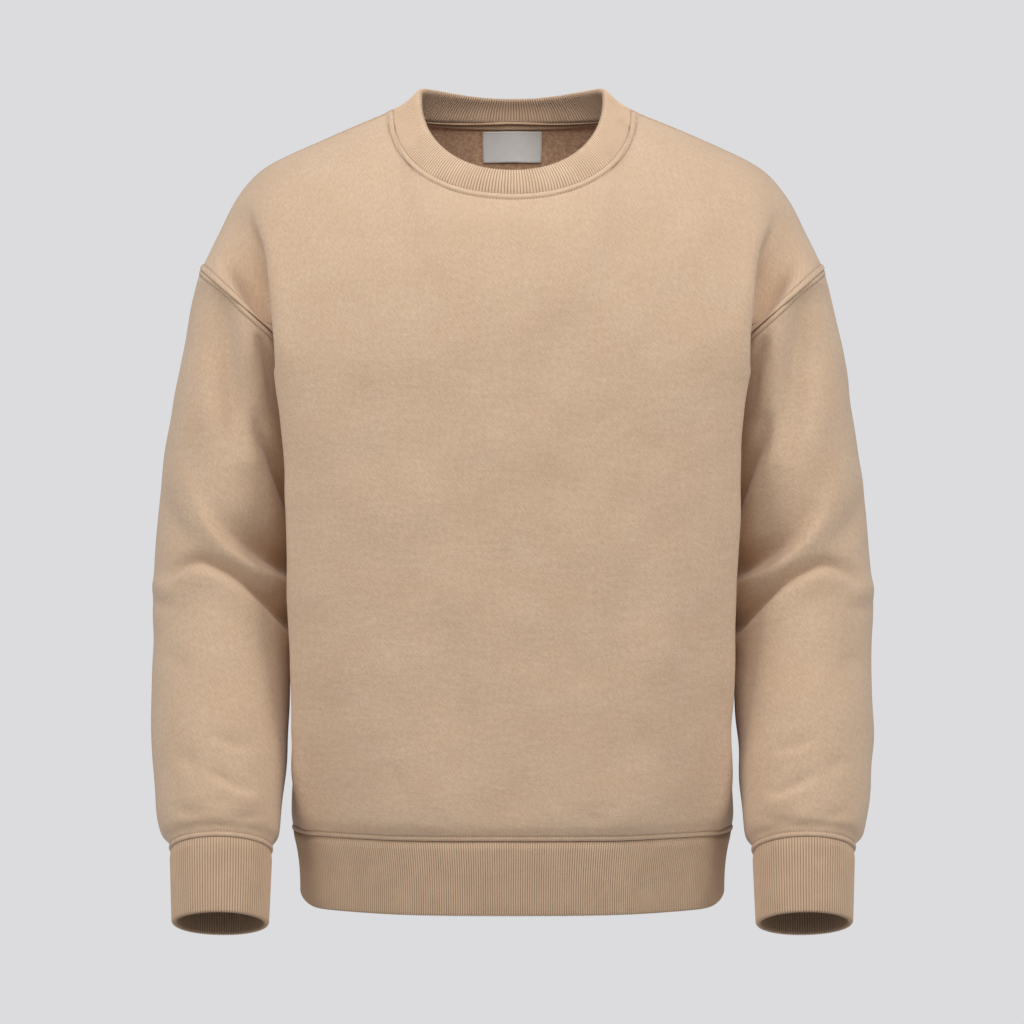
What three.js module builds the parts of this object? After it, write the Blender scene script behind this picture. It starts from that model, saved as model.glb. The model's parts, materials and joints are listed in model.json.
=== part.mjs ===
// A crewneck sweatshirt that keeps the hollow form of a wearer with no wearer in it.
// Four fleece panels (front, back and two sleeves) meet five doubled rib bands: neckband, hem band and cuffs.
// Millimetres, +Z up, the chest faces -Y, and the wearer's left hand is at +X.
// The origin lies between the shoulders, level with the points where the neckband meets the shoulder seams.
import * as THREE from "three";

// Rows of numbers under named columns.
function table(names, rows) {
  return rows.map((row) => Object.fromEntries(names.split(" ").map((name, i) => [name, row[i]])));
}

// Cloth and seams
const PANEL_WALL = 2;
const RIB_WALL = 2.6;
const TAPE_WALL = 1;
const LABEL_WALL = 1;
const SEAM_GAP = 0.3;
const SEAM_DRAW = 0.2; // each edge is drawn back a little over half the gap
const RIB_RISE = 0.7;

// Ribs round each band, with the plain points of the inner wall that carry them
const HEM_RIBS = 480;
const HEM_INNER = 80;
const NECK_RIBS = 240;
const NECK_INNER = 24;
const CUFF_RIBS = 108;
const CUFF_INNER = 27;

// Body heights
const HEM_SEAM = -627.5;
const HEM_EDGE = -688;
const HEM_NARROWING = 0.036; // the band draws in by this share of its width
const HEM_CORNER = 9; // and its edge rises by this much at the side seams
const HEM_CORNER_POWER = 14;
const UNDERARM = -232;
const SIDE_Y = 2.5;

// Body sections from the hem seam up to the underarm.
// front and back are the depths on the centre line. The roll is the fold beside the arm where the panel
// turns from the chest or the back to the side, the tuck is the hollow behind it, and side is the side seam.
const BODY_SECTIONS = table("height front rollX rollY tuckX side back backRollX backRollY", [
  [-627.5, 112, 161, 66, 183.5, 190.5, 105, 161, 64],
  [-612, 119, 172, 66, 187, 192, 112, 172, 66],
  [-560, 121, 181, 70, 183, 189.5, 111, 181, 70],
  [-430, 125, 186, 80, 181, 185, 110, 187, 76],
  [-300, 128, 191, 84, 181, 180, 117, 191, 80],
  [-232, 127, 198, 85, 184, 180, 120, 197, 82],
]);
// Lengthwise lines of half a panel: the centre, the neck point, the roll, the tuck and the seam
const NECK_LINE = 1;
const TUCK_LINE = 3;
const SEAM_LINE = 4;
const MID_WIDTH = 0.56;
const MID_DEPTH = 0.93;
const TUCK_DEPTH = 0.53;

// Neckline: the seam under the neckband, then the folded top edge of the band
// peak moves the highest place at the side towards the back, and soften rounds it.
const NECK_SEAM = { halfWidth: 103, sideZ: -1.6, frontY: -98, frontZ: -83.5, backY: 66, backZ: -5, peak: 0, soften: 0 };
const NECK_TOP = {
  halfWidth: 79.5, sideZ: 18, frontY: -92, frontZ: -63, backY: 62, backZ: 15.2, peak: 0.15, soften: 0.1,
};
const NECK_ROUND = 0.92;
const NECK_BULGE = 2.5; // outwards at the front and the back
const NECK_HOLLOW = 1.5; // inwards at the sides
const NECK_CHORDS = 6;
const NECK_LIFT = 0.8;
const NECK_FLARE = 0.5; // how far the band's bulge leans up

// Shoulder seam from the neck point to the armhole
const SHOULDER = table("x z", [
  [103, -1.6],
  [160, -25.5],
  [215, -52],
  [239, -77],
  [256, -110],
  [271, -141],
]);

// How each lengthwise line of a panel leaves the underarm level and reaches the shoulder seam or neckline.
// out is sideways, fore is towards the panel's own face, up is along Z, and along is its place on the shoulder.
const FRONT_LINES = table("along startOut startFore startUp endOut endFore endUp", [
  [0, 0, 2, 150, 0, -55, 130],
  [0, 0, 5, 230, 0, -155, 105],
  [0.66, 5, 10, 150, 60, -190, 0],
  [0.86, 10, 100, 100, 40, -200, 0],
  [1, 0, 240, 0, 0, -240, 0],
]);
const BACK_LINES = table("along startOut startFore startUp endOut endFore endUp", [
  [0, 0, 3, 225, 0, -90, 150],
  [0, 0, 0, 225, 0, -290, 0],
  [0.66, 5, 10, 150, 60, -190, 0],
  [0.86, 10, 100, 100, 40, -200, 0],
  [1, 0, 240, 0, 0, -240, 0],
]);

// Sleeve sections from the armhole to the cuff seam: the outer and inner edge of each section,
// its middle and half depth front to back, and how far it leans forward in degrees.
const SLEEVE_SECTIONS = table("outX outZ inX inZ y halfDepth lean", [
  [271, -141, 180, -220, 2.5, 76, 0],
  [283, -190, 187, -250, 3, 75, 0],
  [293, -245, 188, -290, 4, 74, 0],
  [303, -310, 188, -335, 6, 72, 2],
  [310, -370, 190, -378, 7, 71, 7],
  [313, -425, 191, -425, 4, 70, 14],
  [311.5, -480, 192, -478, -9, 67, 20],
  [310.5, -540, 192.5, -537, -31, 61, 22],
  [306, -592, 196, -592, -50, 55, 23],
  [300, -624, 198.5, -624, -62, 50, 23],
  [290.5, -640, 205, -640, -68, 41, 23],
]);
const CUFF_END = { outX: 286.5, outZ: -698, inX: 206, inZ: -698, y: -93, halfDepth: 36, lean: 23 };
const CUFF_TOP = SLEEVE_SECTIONS.length - 1;

// The largest folds. Each is a line in the front view, and each of its knots gives x, z, how far the cloth
// rises (+) or sinks (-) there, and the width that the fold fades over.
const SLEEVE_FOLDS = [
  [[289, -300, 0, 16], [277, -327, 3, 15], [265, -352, 4.5, 13], [250, -374, 7, 11], [231, -392, 8, 10],
    [210, -405.5, 8, 10], [188, -417, 7, 10]],
  [[262, -342, 0, 13], [245, -364, -4, 13], [227, -379, -8, 12], [208, -391, -9, 11], [186, -404, -9, 11]],
  [[300, -412, 0, 10], [283, -400, -3, 9], [264.7, -394.8, -5, 9], [245.6, -401, -6.5, 9], [227, -412, -7, 9],
    [210, -429.5, -7, 9], [192, -450, -6, 9]],
  [[294, -325, 0, 12], [286, -349, -4, 12], [275, -368, -4, 12], [262, -382, 0, 11]],
  [[253, -156, 0, 16], [252, -176, -3, 16], [249, -205, -5, 16], [243, -240, -4.5, 16], [236, -276, -2.5, 15],
    [229, -305, 0, 14]],
  [[287, -430, 0, 16], [262, -436, 3, 16], [222, -452, 4, 16], [206, -470, 0, 16]],
];
const SLEEVE_BACK_FOLDS = [
  [[292, -322, 0, 14], [272, -360, 3.5, 13], [244, -386, 4.5, 12], [212, -398, 3, 12], [190, -404, 0, 12]],
  [[282, -396, 0, 11], [260, -404, -4.5, 11], [232, -416, -5.5, 11], [208, -430, -4, 11], [192, -446, 0, 11]],
  [[258, -170, 0, 16], [252, -210, -3, 16], [243, -255, -3, 16], [236, -295, 0, 14]],
];
const FRONT_FOLDS = [
  [[-229, -98, 0, 13], [-217, -129, -4, 13], [-211, -163, -5, 12], [-208, -190, 0, 12]],
  [[228, -100, 0, 13], [216, -131, -4, 13], [211, -166, -5, 12], [207, -194, 0, 12]],
  [[-126, -225, 0, 16], [-128, -270, -2.6, 16], [-133, -345, 0, 18]],
  [[-57, -410, 0, 14], [-53, -470, -2.8, 14], [-47, -560, -2.4, 15], [-44, -612, 0, 14]],
  [[90, -385, 0, 14], [92, -440, -2.8, 14], [93, -510, -2.4, 14], [99, -570, 0, 14]],
  [[128, -370, 0, 14], [129, -430, 2.6, 14], [131, -500, 2.2, 14], [137, -560, 0, 14]],
];
const BACK_FOLDS = [
  [[-78, -365, 0, 16], [-70, -420, -3, 16], [-62, -530, -2.6, 16], [-58, -590, 0, 16]],
  [[92, -345, 0, 16], [86, -400, -3, 16], [77, -510, -2.6, 16], [70, -570, 0, 16]],
  [[-165, -118, 0, 18], [-145, -160, -3, 18], [-112, -240, -2.8, 18], [-88, -300, 0, 18]],
  [[166, -114, 0, 18], [148, -155, -3, 18], [116, -235, -2.8, 18], [96, -292, 0, 18]],
];

// Back neck tape and label, as places on the back panel
const TRIM_GAP = 0.4;
const TAPE_TOP = 0.9;
const TAPE_DROP = 6.2;
const LABEL_HALF_WIDTH = 26.4;
const LABEL_LENGTH = 26.8;
const LABEL_LEAN = 2.5; // sewn along its top, the label hangs almost straight down and only leans back a little

const UNDERARM_DRAW = 1.2; // the sleeve stands a little further off where it folds against the body

// Grid stops across half a panel, by its lengthwise lines
const NECK_STOPS = Array.from({ length: NECK_CHORDS + 1 }, (_, i) => i / NECK_CHORDS);
const FRONT_STOPS = [...NECK_STOPS, 1.25, 1.5, 1.75, 2, 2.2, 2.45, 2.75, 3.1, 3.55, SEAM_LINE];
const BACK_STOPS = [...NECK_STOPS, 1.35, 1.7, 2, 2.25, 2.6, 3.05, 3.5, SEAM_LINE];
const BODY_ROWS = [0, 0.03, 0.1, 0.21, 0.33, 0.46, 0.6, 0.74, 0.88, 1];
const YOKE_ROWS = [0.05, 0.14, 0.25, 0.36, 0.47, 0.58, 0.69, 0.8, 0.9, 1];
const RISES = [...BODY_ROWS, ...YOKE_ROWS.map((row) => 1 + row)];
const SLEEVE_STEPS = [
  0, 0.5, 1, 1.6, 2.2, 2.8, 3.3, 3.7, 4, 4.3, 4.6, 4.9, 5.2, 5.6, 6.1, 6.7, 7.3, 7.9, 8.5, 9, 9.5, 10,
];

const SLIGHT = 1e-3;
const QUARTER_TURN = Math.PI / 2;
const FOLD_FRONT = 2; // sleeve folds reach full height this many times sooner than the front of the sleeve
const FOLD_START = 0.5; // and from this step on, because the sleeve and the panels meet along one line
const FACING = 0.5; // two pieces closer than this cosine share less of one direction
const vec = (x, y, z) => new THREE.Vector3(x, y, z);
const clamp = THREE.MathUtils.clamp;

// A smooth curve through knots: cubic pieces whose slopes come from the neighbouring knots.
function through(at, knots, values) {
  const last = knots.length - 1;
  let i = 0;
  while (i < last - 1 && at > knots[i + 1]) i++;
  const span = knots[i + 1] - knots[i];
  const slope = (k) => {
    const a = Math.max(k - 1, 0);
    const b = Math.min(k + 1, last);
    return (values[b] - values[a]) / (knots[b] - knots[a]);
  };
  const t = (at - knots[i]) / span;
  return hermite(t, values[i], values[i + 1], slope(i) * span, slope(i + 1) * span);
}

function hermite(t, start, end, startSlope, endSlope) {
  const t2 = t * t;
  const t3 = t2 * t;
  return (
    (2 * t3 - 3 * t2 + 1) * start +
    (t3 - 2 * t2 + t) * startSlope +
    (3 * t2 - 2 * t3) * end +
    (t3 - t2) * endSlope
  );
}

function column(rows, name) {
  return rows.map((row) => row[name]);
}

function ease(t) {
  const c = clamp(t, 0, 1);
  return c * c * (3 - 2 * c);
}

// Height of the cloth over its plain form at a place in the front view, from a table of folds.
function foldRise(folds, x, z) {
  let total = 0;
  for (const fold of folds) {
    let closest = { gap: Infinity };
    for (let i = 0; i + 1 < fold.length; i++) {
      const [startX, startZ, startRise, startWidth] = fold[i];
      const [endX, endZ, endRise, endWidth] = fold[i + 1];
      const dx = endX - startX;
      const dz = endZ - startZ;
      const share = clamp(((x - startX) * dx + (z - startZ) * dz) / (dx * dx + dz * dz), 0, 1);
      const gap = Math.hypot(x - startX - share * dx, z - startZ - share * dz);
      if (gap >= closest.gap) continue;
      const rise = startRise + (endRise - startRise) * share;
      const width = startWidth + (endWidth - startWidth) * share;
      closest = { gap, rise, width };
    }
    total += closest.rise * Math.exp(-((closest.gap / closest.width) ** 2));
  }
  return total;
}

// Outward direction of a surface that is a function of two numbers, by small steps along each.
function outward(surface, a, b, flip) {
  const dA = surface(a + SLIGHT, b).sub(surface(a - SLIGHT, b));
  const dB = surface(a, b + SLIGHT).sub(surface(a, b - SLIGHT));
  return dA.cross(dB).multiplyScalar(flip).normalize();
}

// Body section: five knots from the centre line to the side seam, for the front or the back.
function sectionKnots(height, isFront) {
  const heights = column(BODY_SECTIONS, "height");
  const size = (name) => through(height, heights, column(BODY_SECTIONS, name));
  const face = isFront ? -1 : 1;
  const depth = size(isFront ? "front" : "back");
  const rollX = size(isFront ? "rollX" : "backRollX");
  const rollY = size(isFront ? "rollY" : "backRollY");
  return [
    vec(0, face * depth, height),
    vec(MID_WIDTH * rollX, face * MID_DEPTH * depth, height),
    vec(rollX, face * rollY, height),
    vec(size("tuckX"), face * TUCK_DEPTH * rollY, height),
    vec(size("side"), SIDE_Y, height),
  ];
}

function sectionPoint(height, isFront, line) {
  const own = sectionKnots(height, isFront);
  const other = sectionKnots(height, !isFront);
  const before = vec(-own[1].x, own[1].y, height);
  const knots = [before, ...own, other[3]];
  const i = Math.min(Math.floor(line), 3);
  const t = line - i;
  const axis = (name) => {
    const [p, q, r, s] = knots.slice(i, i + 4).map((knot) => knot[name]);
    return hermite(t, q, r, (r - p) / 2, (s - q) / 2);
  };
  return vec(axis("x"), axis("y"), height);
}

// The neckline, or the top edge of the neckband, at an angle from the front centre (0) to the back (PI).
function neckLoop(loop, angle) {
  const across = Math.sin(angle);
  const along = Math.cos(angle);
  const x = loop.halfWidth * Math.sign(across) * Math.pow(Math.abs(across), NECK_ROUND);
  const y = Math.pow(Math.abs(along), NECK_ROUND) * (along > 0 ? loop.frontY : loop.backY);
  const past = along + loop.peak;
  const isFront = past > 0;
  const reach = Math.pow(Math.abs(past) / (isFront ? 1 + loop.peak : 1 - loop.peak), NECK_ROUND);
  const fall = (Math.hypot(reach, loop.soften) - loop.soften) / (Math.hypot(1, loop.soften) - loop.soften);
  const z = loop.sideZ + fall * ((isFront ? loop.frontZ : loop.backZ) - loop.sideZ);
  return vec(x, y, z);
}

const shoulderReach = SHOULDER.map((_, i) =>
  SHOULDER.slice(1, i + 1).reduce((sum, p, k) => sum + Math.hypot(p.x - SHOULDER[k].x, p.z - SHOULDER[k].z), 0),
);
const SHOULDER_LENGTH = shoulderReach[shoulderReach.length - 1];

function shoulderPoint(along) {
  const reach = along * SHOULDER_LENGTH;
  const x = through(reach, shoulderReach, column(SHOULDER, "x"));
  const z = through(reach, shoulderReach, column(SHOULDER, "z"));
  return vec(x, SIDE_Y * along, z);
}

// Sleeve section as a frame: its middle, its outward and forward half axes.
function sleeveFrame(step) {
  const sections = [...SLEEVE_SECTIONS, CUFF_END];
  const steps = sections.map((_, i) => i);
  const size = (name) => through(step, steps, column(sections, name));
  const lean = THREE.MathUtils.degToRad(size("lean"));
  const outer = vec(size("outX"), 0, size("outZ"));
  const inner = vec(size("inX"), 0, size("inZ"));
  const middle = outer.clone().add(inner).multiplyScalar(0.5);
  const out = outer.clone().sub(middle);
  middle.y = size("y");
  const fore = vec(0, -Math.cos(lean), Math.sin(lean)).multiplyScalar(size("halfDepth"));
  return { middle, out, fore };
}

// A point of the sleeve on the +X side: angle 0 is its outer edge, a quarter turn on is its front.
function sleevePlain(angle, step) {
  const { middle, out, fore } = sleeveFrame(step);
  return middle.add(out.multiplyScalar(Math.cos(angle))).add(fore.multiplyScalar(Math.sin(angle)));
}

function sleevePoint(angle, step) {
  const plain = sleevePlain(angle, step);
  const folds = angle > 0 ? SLEEVE_FOLDS : SLEEVE_BACK_FOLDS;
  const rise = foldRise(folds, plain.x, plain.z) * ease(Math.abs(Math.sin(angle)) * FOLD_FRONT) * ease(step / FOLD_START);
  if (Math.abs(rise) < SLIGHT) return plain;
  return plain.addScaledVector(outward(sleevePlain, angle, step, 1), rise);
}

// A point of the body on the +X side. rise runs from 0 at the hem seam to 1 at the underarm level,
// and on to 2 at the shoulder seam or neckline.
function bodyPlain(isFront, line, rise) {
  const weight = ease(line - TUCK_LINE);
  const level = UNDERARM + (SLEEVE_SECTIONS[0].inZ - UNDERARM) * weight;
  if (rise <= 1) {
    const height = HEM_SEAM + (level - HEM_SEAM) * rise;
    return sectionPoint(height, isFront, line);
  }
  const face = isFront ? -1 : 1;
  const lines = isFront ? FRONT_LINES : BACK_LINES;
  const knots = lines.map((_, i) => i);
  const size = (name) => through(line, knots, column(lines, name));
  const start = sectionPoint(level, isFront, line);
  const neckAngle = line * QUARTER_TURN;
  const end = line < NECK_LINE ? neckLoop(NECK_SEAM, isFront ? neckAngle : Math.PI - neckAngle)
    : shoulderPoint(clamp(size("along"), 0, 1));
  const t = rise - 1;
  const point = vec(
    hermite(t, start.x, end.x, size("startOut"), size("endOut")),
    hermite(t, start.y, end.y, face * size("startFore"), face * size("endFore")),
    hermite(t, start.z, end.z, size("startUp"), size("endUp")),
  );
  if (weight === 0) return point;
  const turn = Math.PI * (1 - t);
  const seam = sleevePlain(isFront ? turn : -turn, 0);
  const unbent = vec(
    hermite(t, SLEEVE_SECTIONS[0].inX, SLEEVE_SECTIONS[0].outX, 0, 0),
    hermite(t, SIDE_Y, SIDE_Y, face * lines[SEAM_LINE].startFore, face * lines[SEAM_LINE].endFore),
    hermite(t, SLEEVE_SECTIONS[0].inZ, SLEEVE_SECTIONS[0].outZ, 0, 0),
  );
  return point.add(seam.sub(unbent).multiplyScalar(weight));
}

function bodyPoint(isFront, line, rise, side) {
  const plain = bodyPlain(isFront, line, rise);
  const folds = isFront ? FRONT_FOLDS : BACK_FOLDS;
  const clear = line > TUCK_LINE && rise >= 1 ? ease(SEAM_LINE - line) : 1;
  const lift = foldRise(folds, plain.x * side, plain.z) * clear;
  if (Math.abs(lift) > SLIGHT) plain.y += (isFront ? -1 : 1) * lift;
  return vec(plain.x * side, plain.y, plain.z);
}

function bodyOutward(isFront, line, rise, side) {
  const surface = (a, b) => bodyPoint(isFront, a, b, side);
  const a = clamp(line, SLIGHT, SEAM_LINE - SLIGHT);
  const b = clamp(rise, SLIGHT, 2 - SLIGHT);
  return outward(surface, a, b, (isFront ? 1 : -1) * side);
}

function sleeveOutward(angle, step) {
  return outward(sleevePoint, angle, Math.max(step, SLIGHT), 1);
}

// Where two pieces meet at a seam they share one direction for their walls, unless they face each other.
function sharedDirection(own, other) {
  const weight = clamp(own.dot(other) / FACING, 0, 1);
  return own.clone().add(other.clone().multiplyScalar(weight)).normalize();
}

// A closed solid from two grids of points, the outer face and the inner face of a wall.
// ring says that the columns close on themselves. The outer grid may have several columns for each inner one.
// The diagonals of a mirrored tube, and of the two halves of an open wall, mirror each other.
function wallGeometry(outer, inner, ring, mirrored = false) {
  const positions = [];
  const indices = [];
  const lay = (grid) => grid.map((row) => row.map((p) => positions.push(p.x, p.y, p.z) / 3 - 1));
  const outerIds = lay(outer);
  const innerIds = lay(inner);
  const columns = (row) => (ring ? row.length : row.length - 1);
  const next = (row, c) => row[(c + 1) % row.length];
  const face = (ids, flipped) => {
    for (let r = 0; r + 1 < ids.length; r++) {
      for (let c = 0; c < columns(ids[r]); c++) {
        const quad = [ids[r][c], next(ids[r], c), next(ids[r + 1], c), ids[r + 1][c]];
        const turned = ring ? mirrored : c >= columns(ids[r]) / 2;
        const [a, b, d, e] = turned ? [...quad.slice(1), quad[0]] : quad;
        if (flipped) indices.push(a, d, b, a, e, d);
        else indices.push(a, b, d, a, d, e);
      }
    }
  };
  const rim = (from, to, flipped) => {
    const share = from.length / to.length;
    const add = (a, b, c) => (flipped ? indices.push(a, c, b) : indices.push(a, b, c));
    for (let c = 0; c < columns(to); c++) {
      const first = Math.round(c * share);
      const steps = share > 1 ? Math.round((c + 1) * share) - first : 1;
      const half = Math.ceil(steps / 2);
      for (let k = 0; k < steps; k++) {
        const hub = k < half ? to[c] : next(to, c);
        add(from[(first + k) % from.length], hub, from[(first + k + 1) % from.length]);
      }
      add(to[c], next(to, c), from[(first + half) % from.length]);
    }
  };
  face(outerIds, false);
  face(innerIds, true);
  rim(outerIds[0], innerIds[0], false);
  rim(outerIds[outerIds.length - 1], innerIds[innerIds.length - 1], true);
  if (!ring) {
    const left = (ids) => ids.map((row) => row[0]);
    const right = (ids) => ids.map((row) => row[row.length - 1]);
    rim(left(outerIds), left(innerIds), true);
    rim(right(outerIds), right(innerIds), false);
  }
  const geometry = new THREE.BufferGeometry();
  geometry.setAttribute("position", new THREE.Float32BufferAttribute(positions, 3));
  geometry.setIndex(indices);
  geometry.computeVertexNormals();
  return geometry;
}

// Draws a point of an edge back from the seam by half the gap, towards its neighbour in the grid.
function drawBack(point, neighbour, distance) {
  const step = neighbour.clone().sub(point).normalize().multiplyScalar(distance);
  return point.clone().add(step);
}

// The wall directions of a panel are shared at its shoulder with the other panel, and at its armhole with the sleeve.
function panelDirection(isFront, line, rise, side) {
  const own = bodyOutward(isFront, line, rise, side);
  if (rise === 2 && line >= NECK_LINE) return sharedDirection(own, bodyOutward(!isFront, line, rise, side));
  if (line < SEAM_LINE || rise < 1) return own;
  const turn = Math.PI * (2 - rise);
  const other = sleeveOutward(isFront ? turn : -turn, 0);
  other.x *= side;
  return sharedDirection(own, other);
}

function panelGeometry(isFront) {
  const stops = isFront ? FRONT_STOPS : BACK_STOPS;
  const half = stops.slice(1).map((line) => ({ line, side: 1 }));
  const places = [...half.map(({ line }) => ({ line, side: -1 })).reverse(), { line: 0, side: 1 }, ...half];
  if (!isFront) places.reverse();
  const plain = RISES.map((rise) => places.map(({ line, side }) => bodyPoint(isFront, line, rise, side)));
  const outer = plain.map((row) => row.map((p) => p.clone()));
  const lastRow = RISES.length - 1;
  const lastPlace = places.length - 1;
  plain.forEach((row, r) =>
    row.forEach((p, c) => {
      let point = p;
      if (c === 0) point = drawBack(point, row[1], SEAM_DRAW);
      if (c === lastPlace) point = drawBack(point, row[c - 1], SEAM_DRAW);
      if (r === 0) point = drawBack(point, plain[1][c], SEAM_DRAW);
      if (r === lastRow) point = drawBack(point, plain[r - 1][c], SEAM_DRAW);
      outer[r][c] = point;
    }),
  );
  const inner = outer.map((row, r) =>
    row.map((p, c) => {
      const { line, side } = places[c];
      return p.clone().addScaledVector(panelDirection(isFront, line, RISES[r], side), -PANEL_WALL);
    }),
  );
  return wallGeometry(outer, inner, false);
}

// A tube on the +X side is mirrored to the -X side by turning its columns round.
function placed(grid, side) {
  if (side > 0) return grid;
  return grid.map(([first, ...rest]) => [first, ...rest.reverse()].map((p) => vec(-p.x, p.y, p.z)));
}

function sleeveGeometry(side) {
  const front = [0, ...YOKE_ROWS].map((row) => Math.PI * (1 - row));
  const rear = YOKE_ROWS.slice(0, -1).map((row) => Math.PI * (row - 1));
  const angles = [...front, ...rear.reverse()];
  const plain = SLEEVE_STEPS.map((step) => angles.map((angle) => sleevePoint(angle, step)));
  const last = SLEEVE_STEPS.length - 1;
  const outer = plain.map((row, r) =>
    row.map((p, c) => {
      const underarm = ease(-Math.cos(angles[c])) * UNDERARM_DRAW;
      if (r === 0) return drawBack(p, plain[1][c], SEAM_DRAW + underarm);
      if (r === last) return drawBack(p, plain[r - 1][c], SEAM_DRAW);
      return p;
    }),
  );
  const inner = outer.map((row, r) =>
    row.map((p, c) => {
      let direction = sleeveOutward(angles[c], SLEEVE_STEPS[r]);
      if (r === 0) {
        const rise = 2 - Math.abs(angles[c]) / Math.PI;
        direction = sharedDirection(direction, bodyOutward(angles[c] > 0, SEAM_LINE, rise, 1));
      }
      return p.clone().addScaledVector(direction, -PANEL_WALL);
    }),
  );
  outer.reverse();
  inner.reverse();
  return wallGeometry(placed(outer, side), placed(inner, side), true, side < 0);
}

// A ribbed tube: surface(turn, height) with turn from 0 to 1 round the band and height from 0 to 1 up it.
function ribbedBand(surface, ribs, innerCount, heights, side) {
  const out = (turn, height) => outward(surface, turn, clamp(height, SLIGHT, 1 - SLIGHT), 1);
  const outerCount = ribs * 2;
  const outer = heights.map((height) =>
    Array.from({ length: outerCount }, (_, i) => {
      const turn = i / outerCount;
      return surface(turn, height).addScaledVector(out(turn, height), i % 2 ? 0 : RIB_RISE);
    }),
  );
  const inner = heights.map((height) =>
    Array.from({ length: innerCount }, (_, i) => {
      const turn = i / innerCount;
      return surface(turn, height).addScaledVector(out(turn, height), -RIB_WALL);
    }),
  );
  return wallGeometry(placed(outer, side), placed(inner, side), true, side < 0);
}

// Round the hem, turn 0 is the front centre and the quarter turn is the +X side seam.
function hemPoint(turn, height) {
  const place = ((turn % 1) + 1) % 1;
  const quarter = place * 4;
  const side = quarter < 2 ? 1 : -1;
  const reach = quarter < 2 ? quarter : 4 - quarter;
  const isFront = reach < 1;
  const line = (isFront ? reach : 2 - reach) * SEAM_LINE;
  const p = sectionPoint(HEM_SEAM, isFront, line);
  const drop = SEAM_GAP / 2;
  const edge = HEM_EDGE + HEM_CORNER * (p.x / BODY_SECTIONS[0].side) ** HEM_CORNER_POWER;
  const z = edge + (HEM_SEAM - drop - edge) * height;
  return vec(p.x * side * (1 - HEM_NARROWING * (1 - height)), p.y, z);
}

// The neckband follows the same straight chords as the panels' necklines.
function neckChord(loop, angle) {
  const step = QUARTER_TURN / NECK_CHORDS;
  const first = Math.floor(angle / step + SLIGHT * SLIGHT);
  const share = angle / step - first;
  return neckLoop(loop, first * step).lerp(neckLoop(loop, (first + 1) * step), share);
}

function neckPoint(turn, height) {
  const angle = turn * 2 * Math.PI;
  const low = neckChord(NECK_SEAM, angle);
  const high = neckChord(NECK_TOP, angle);
  const lift = NECK_LIFT / low.distanceTo(high);
  const share = lift + (1 - lift) * height;
  const point = low.lerp(high, share);
  const round = (NECK_BULGE + NECK_HOLLOW) * Math.pow(Math.abs(Math.cos(angle)), 1.5) - NECK_HOLLOW;
  const bulge = round * Math.sin(Math.PI * share);
  const away = vec(Math.sin(angle), -Math.cos(angle), NECK_FLARE).normalize();
  return point.addScaledVector(away, bulge);
}

function cuffPoint(turn, height) {
  const step = CUFF_TOP + 1 - height;
  const drop = SEAM_GAP / 2 / Math.abs(CUFF_END.outZ - SLEEVE_SECTIONS[CUFF_TOP].outZ);
  return sleeveRing(-turn * 2 * Math.PI, Math.max(step, CUFF_TOP + drop));
}

function sleeveRing(angle, step) {
  const top = sleeveFrame(CUFF_TOP);
  const end = sleeveFrame(CUFF_TOP + 1);
  const share = step - CUFF_TOP;
  const mix = (name) => top[name].clone().lerp(end[name], share);
  return mix("middle").addScaledVector(mix("out"), Math.cos(angle)).addScaledVector(mix("fore"), Math.sin(angle));
}

// A point inside the back panel, at a depth from its outer face, on the same facets as the panel's wall.
function insideBack(place, rise, depth) {
  const line = Math.abs(place);
  const side = place < 0 ? -1 : 1;
  const cell = (stops, at) => {
    const above = stops.findIndex((stop) => stop > at);
    const i = (above < 0 ? stops.length - 1 : above) - 1;
    return { low: stops[i], high: stops[i + 1], share: (at - stops[i]) / (stops[i + 1] - stops[i]) };
  };
  const across = cell(BACK_STOPS, line);
  const up = cell(RISES, rise);
  const corner = (a, b) => bodyPoint(false, a, b, side).addScaledVector(bodyOutward(false, a, b, side), -depth);
  const lowNear = corner(across.low, up.low);
  const lowFar = corner(across.high, up.low);
  const highNear = corner(across.low, up.high);
  const highFar = corner(across.high, up.high);
  const blend = (origin, first, u, second, v) =>
    origin.clone().addScaledVector(first.clone().sub(origin), u).addScaledVector(second.clone().sub(origin), v);
  const u = across.share;
  const v = up.share;
  if (u + v <= 1) return blend(lowNear, lowFar, u, highNear, v);
  return blend(highFar, highNear, 1 - u, lowFar, 1 - v);
}

// The rise at which the inside of the back panel reaches a height.
function backRiseAt(place, height) {
  let low = 1;
  let high = 2;
  while (high - low > SLIGHT * SLIGHT) {
    const mid = (low + high) / 2;
    if (insideBack(place, mid, PANEL_WALL).z < height) low = mid;
    else high = mid;
  }
  return low;
}

// A flat trim laid on the inside of the back panel between two heights, with the panel's own rows between them.
function insideTrim(places, thickness) {
  const clear = PANEL_WALL + TRIM_GAP;
  const lowest = Math.max(...places.map(({ low }) => low));
  const highest = Math.min(...places.map(({ high }) => high));
  const rows = RISES.filter((rise) => rise > lowest && rise < highest);
  const columns = places.map(({ place, low, high }) => ({ place, rises: [low, ...rows, high] })).reverse();
  const grid = (depth) =>
    columns[0].rises.map((_, r) => columns.map(({ place, rises }) => insideBack(place, rises[r], depth)));
  return wallGeometry(grid(clear), grid(clear + thickness), false);
}

function tapeGeometry() {
  const stops = NECK_STOPS.slice(0, -1);
  const places = [...stops.slice(1).map((stop) => -stop).reverse(), ...stops].map((place) => {
    const edge = insideBack(place, 2, PANEL_WALL).z;
    return { place, low: backRiseAt(place, edge - TAPE_DROP), high: backRiseAt(place, edge - TAPE_TOP) };
  });
  return insideTrim(places, TAPE_WALL);
}

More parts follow.
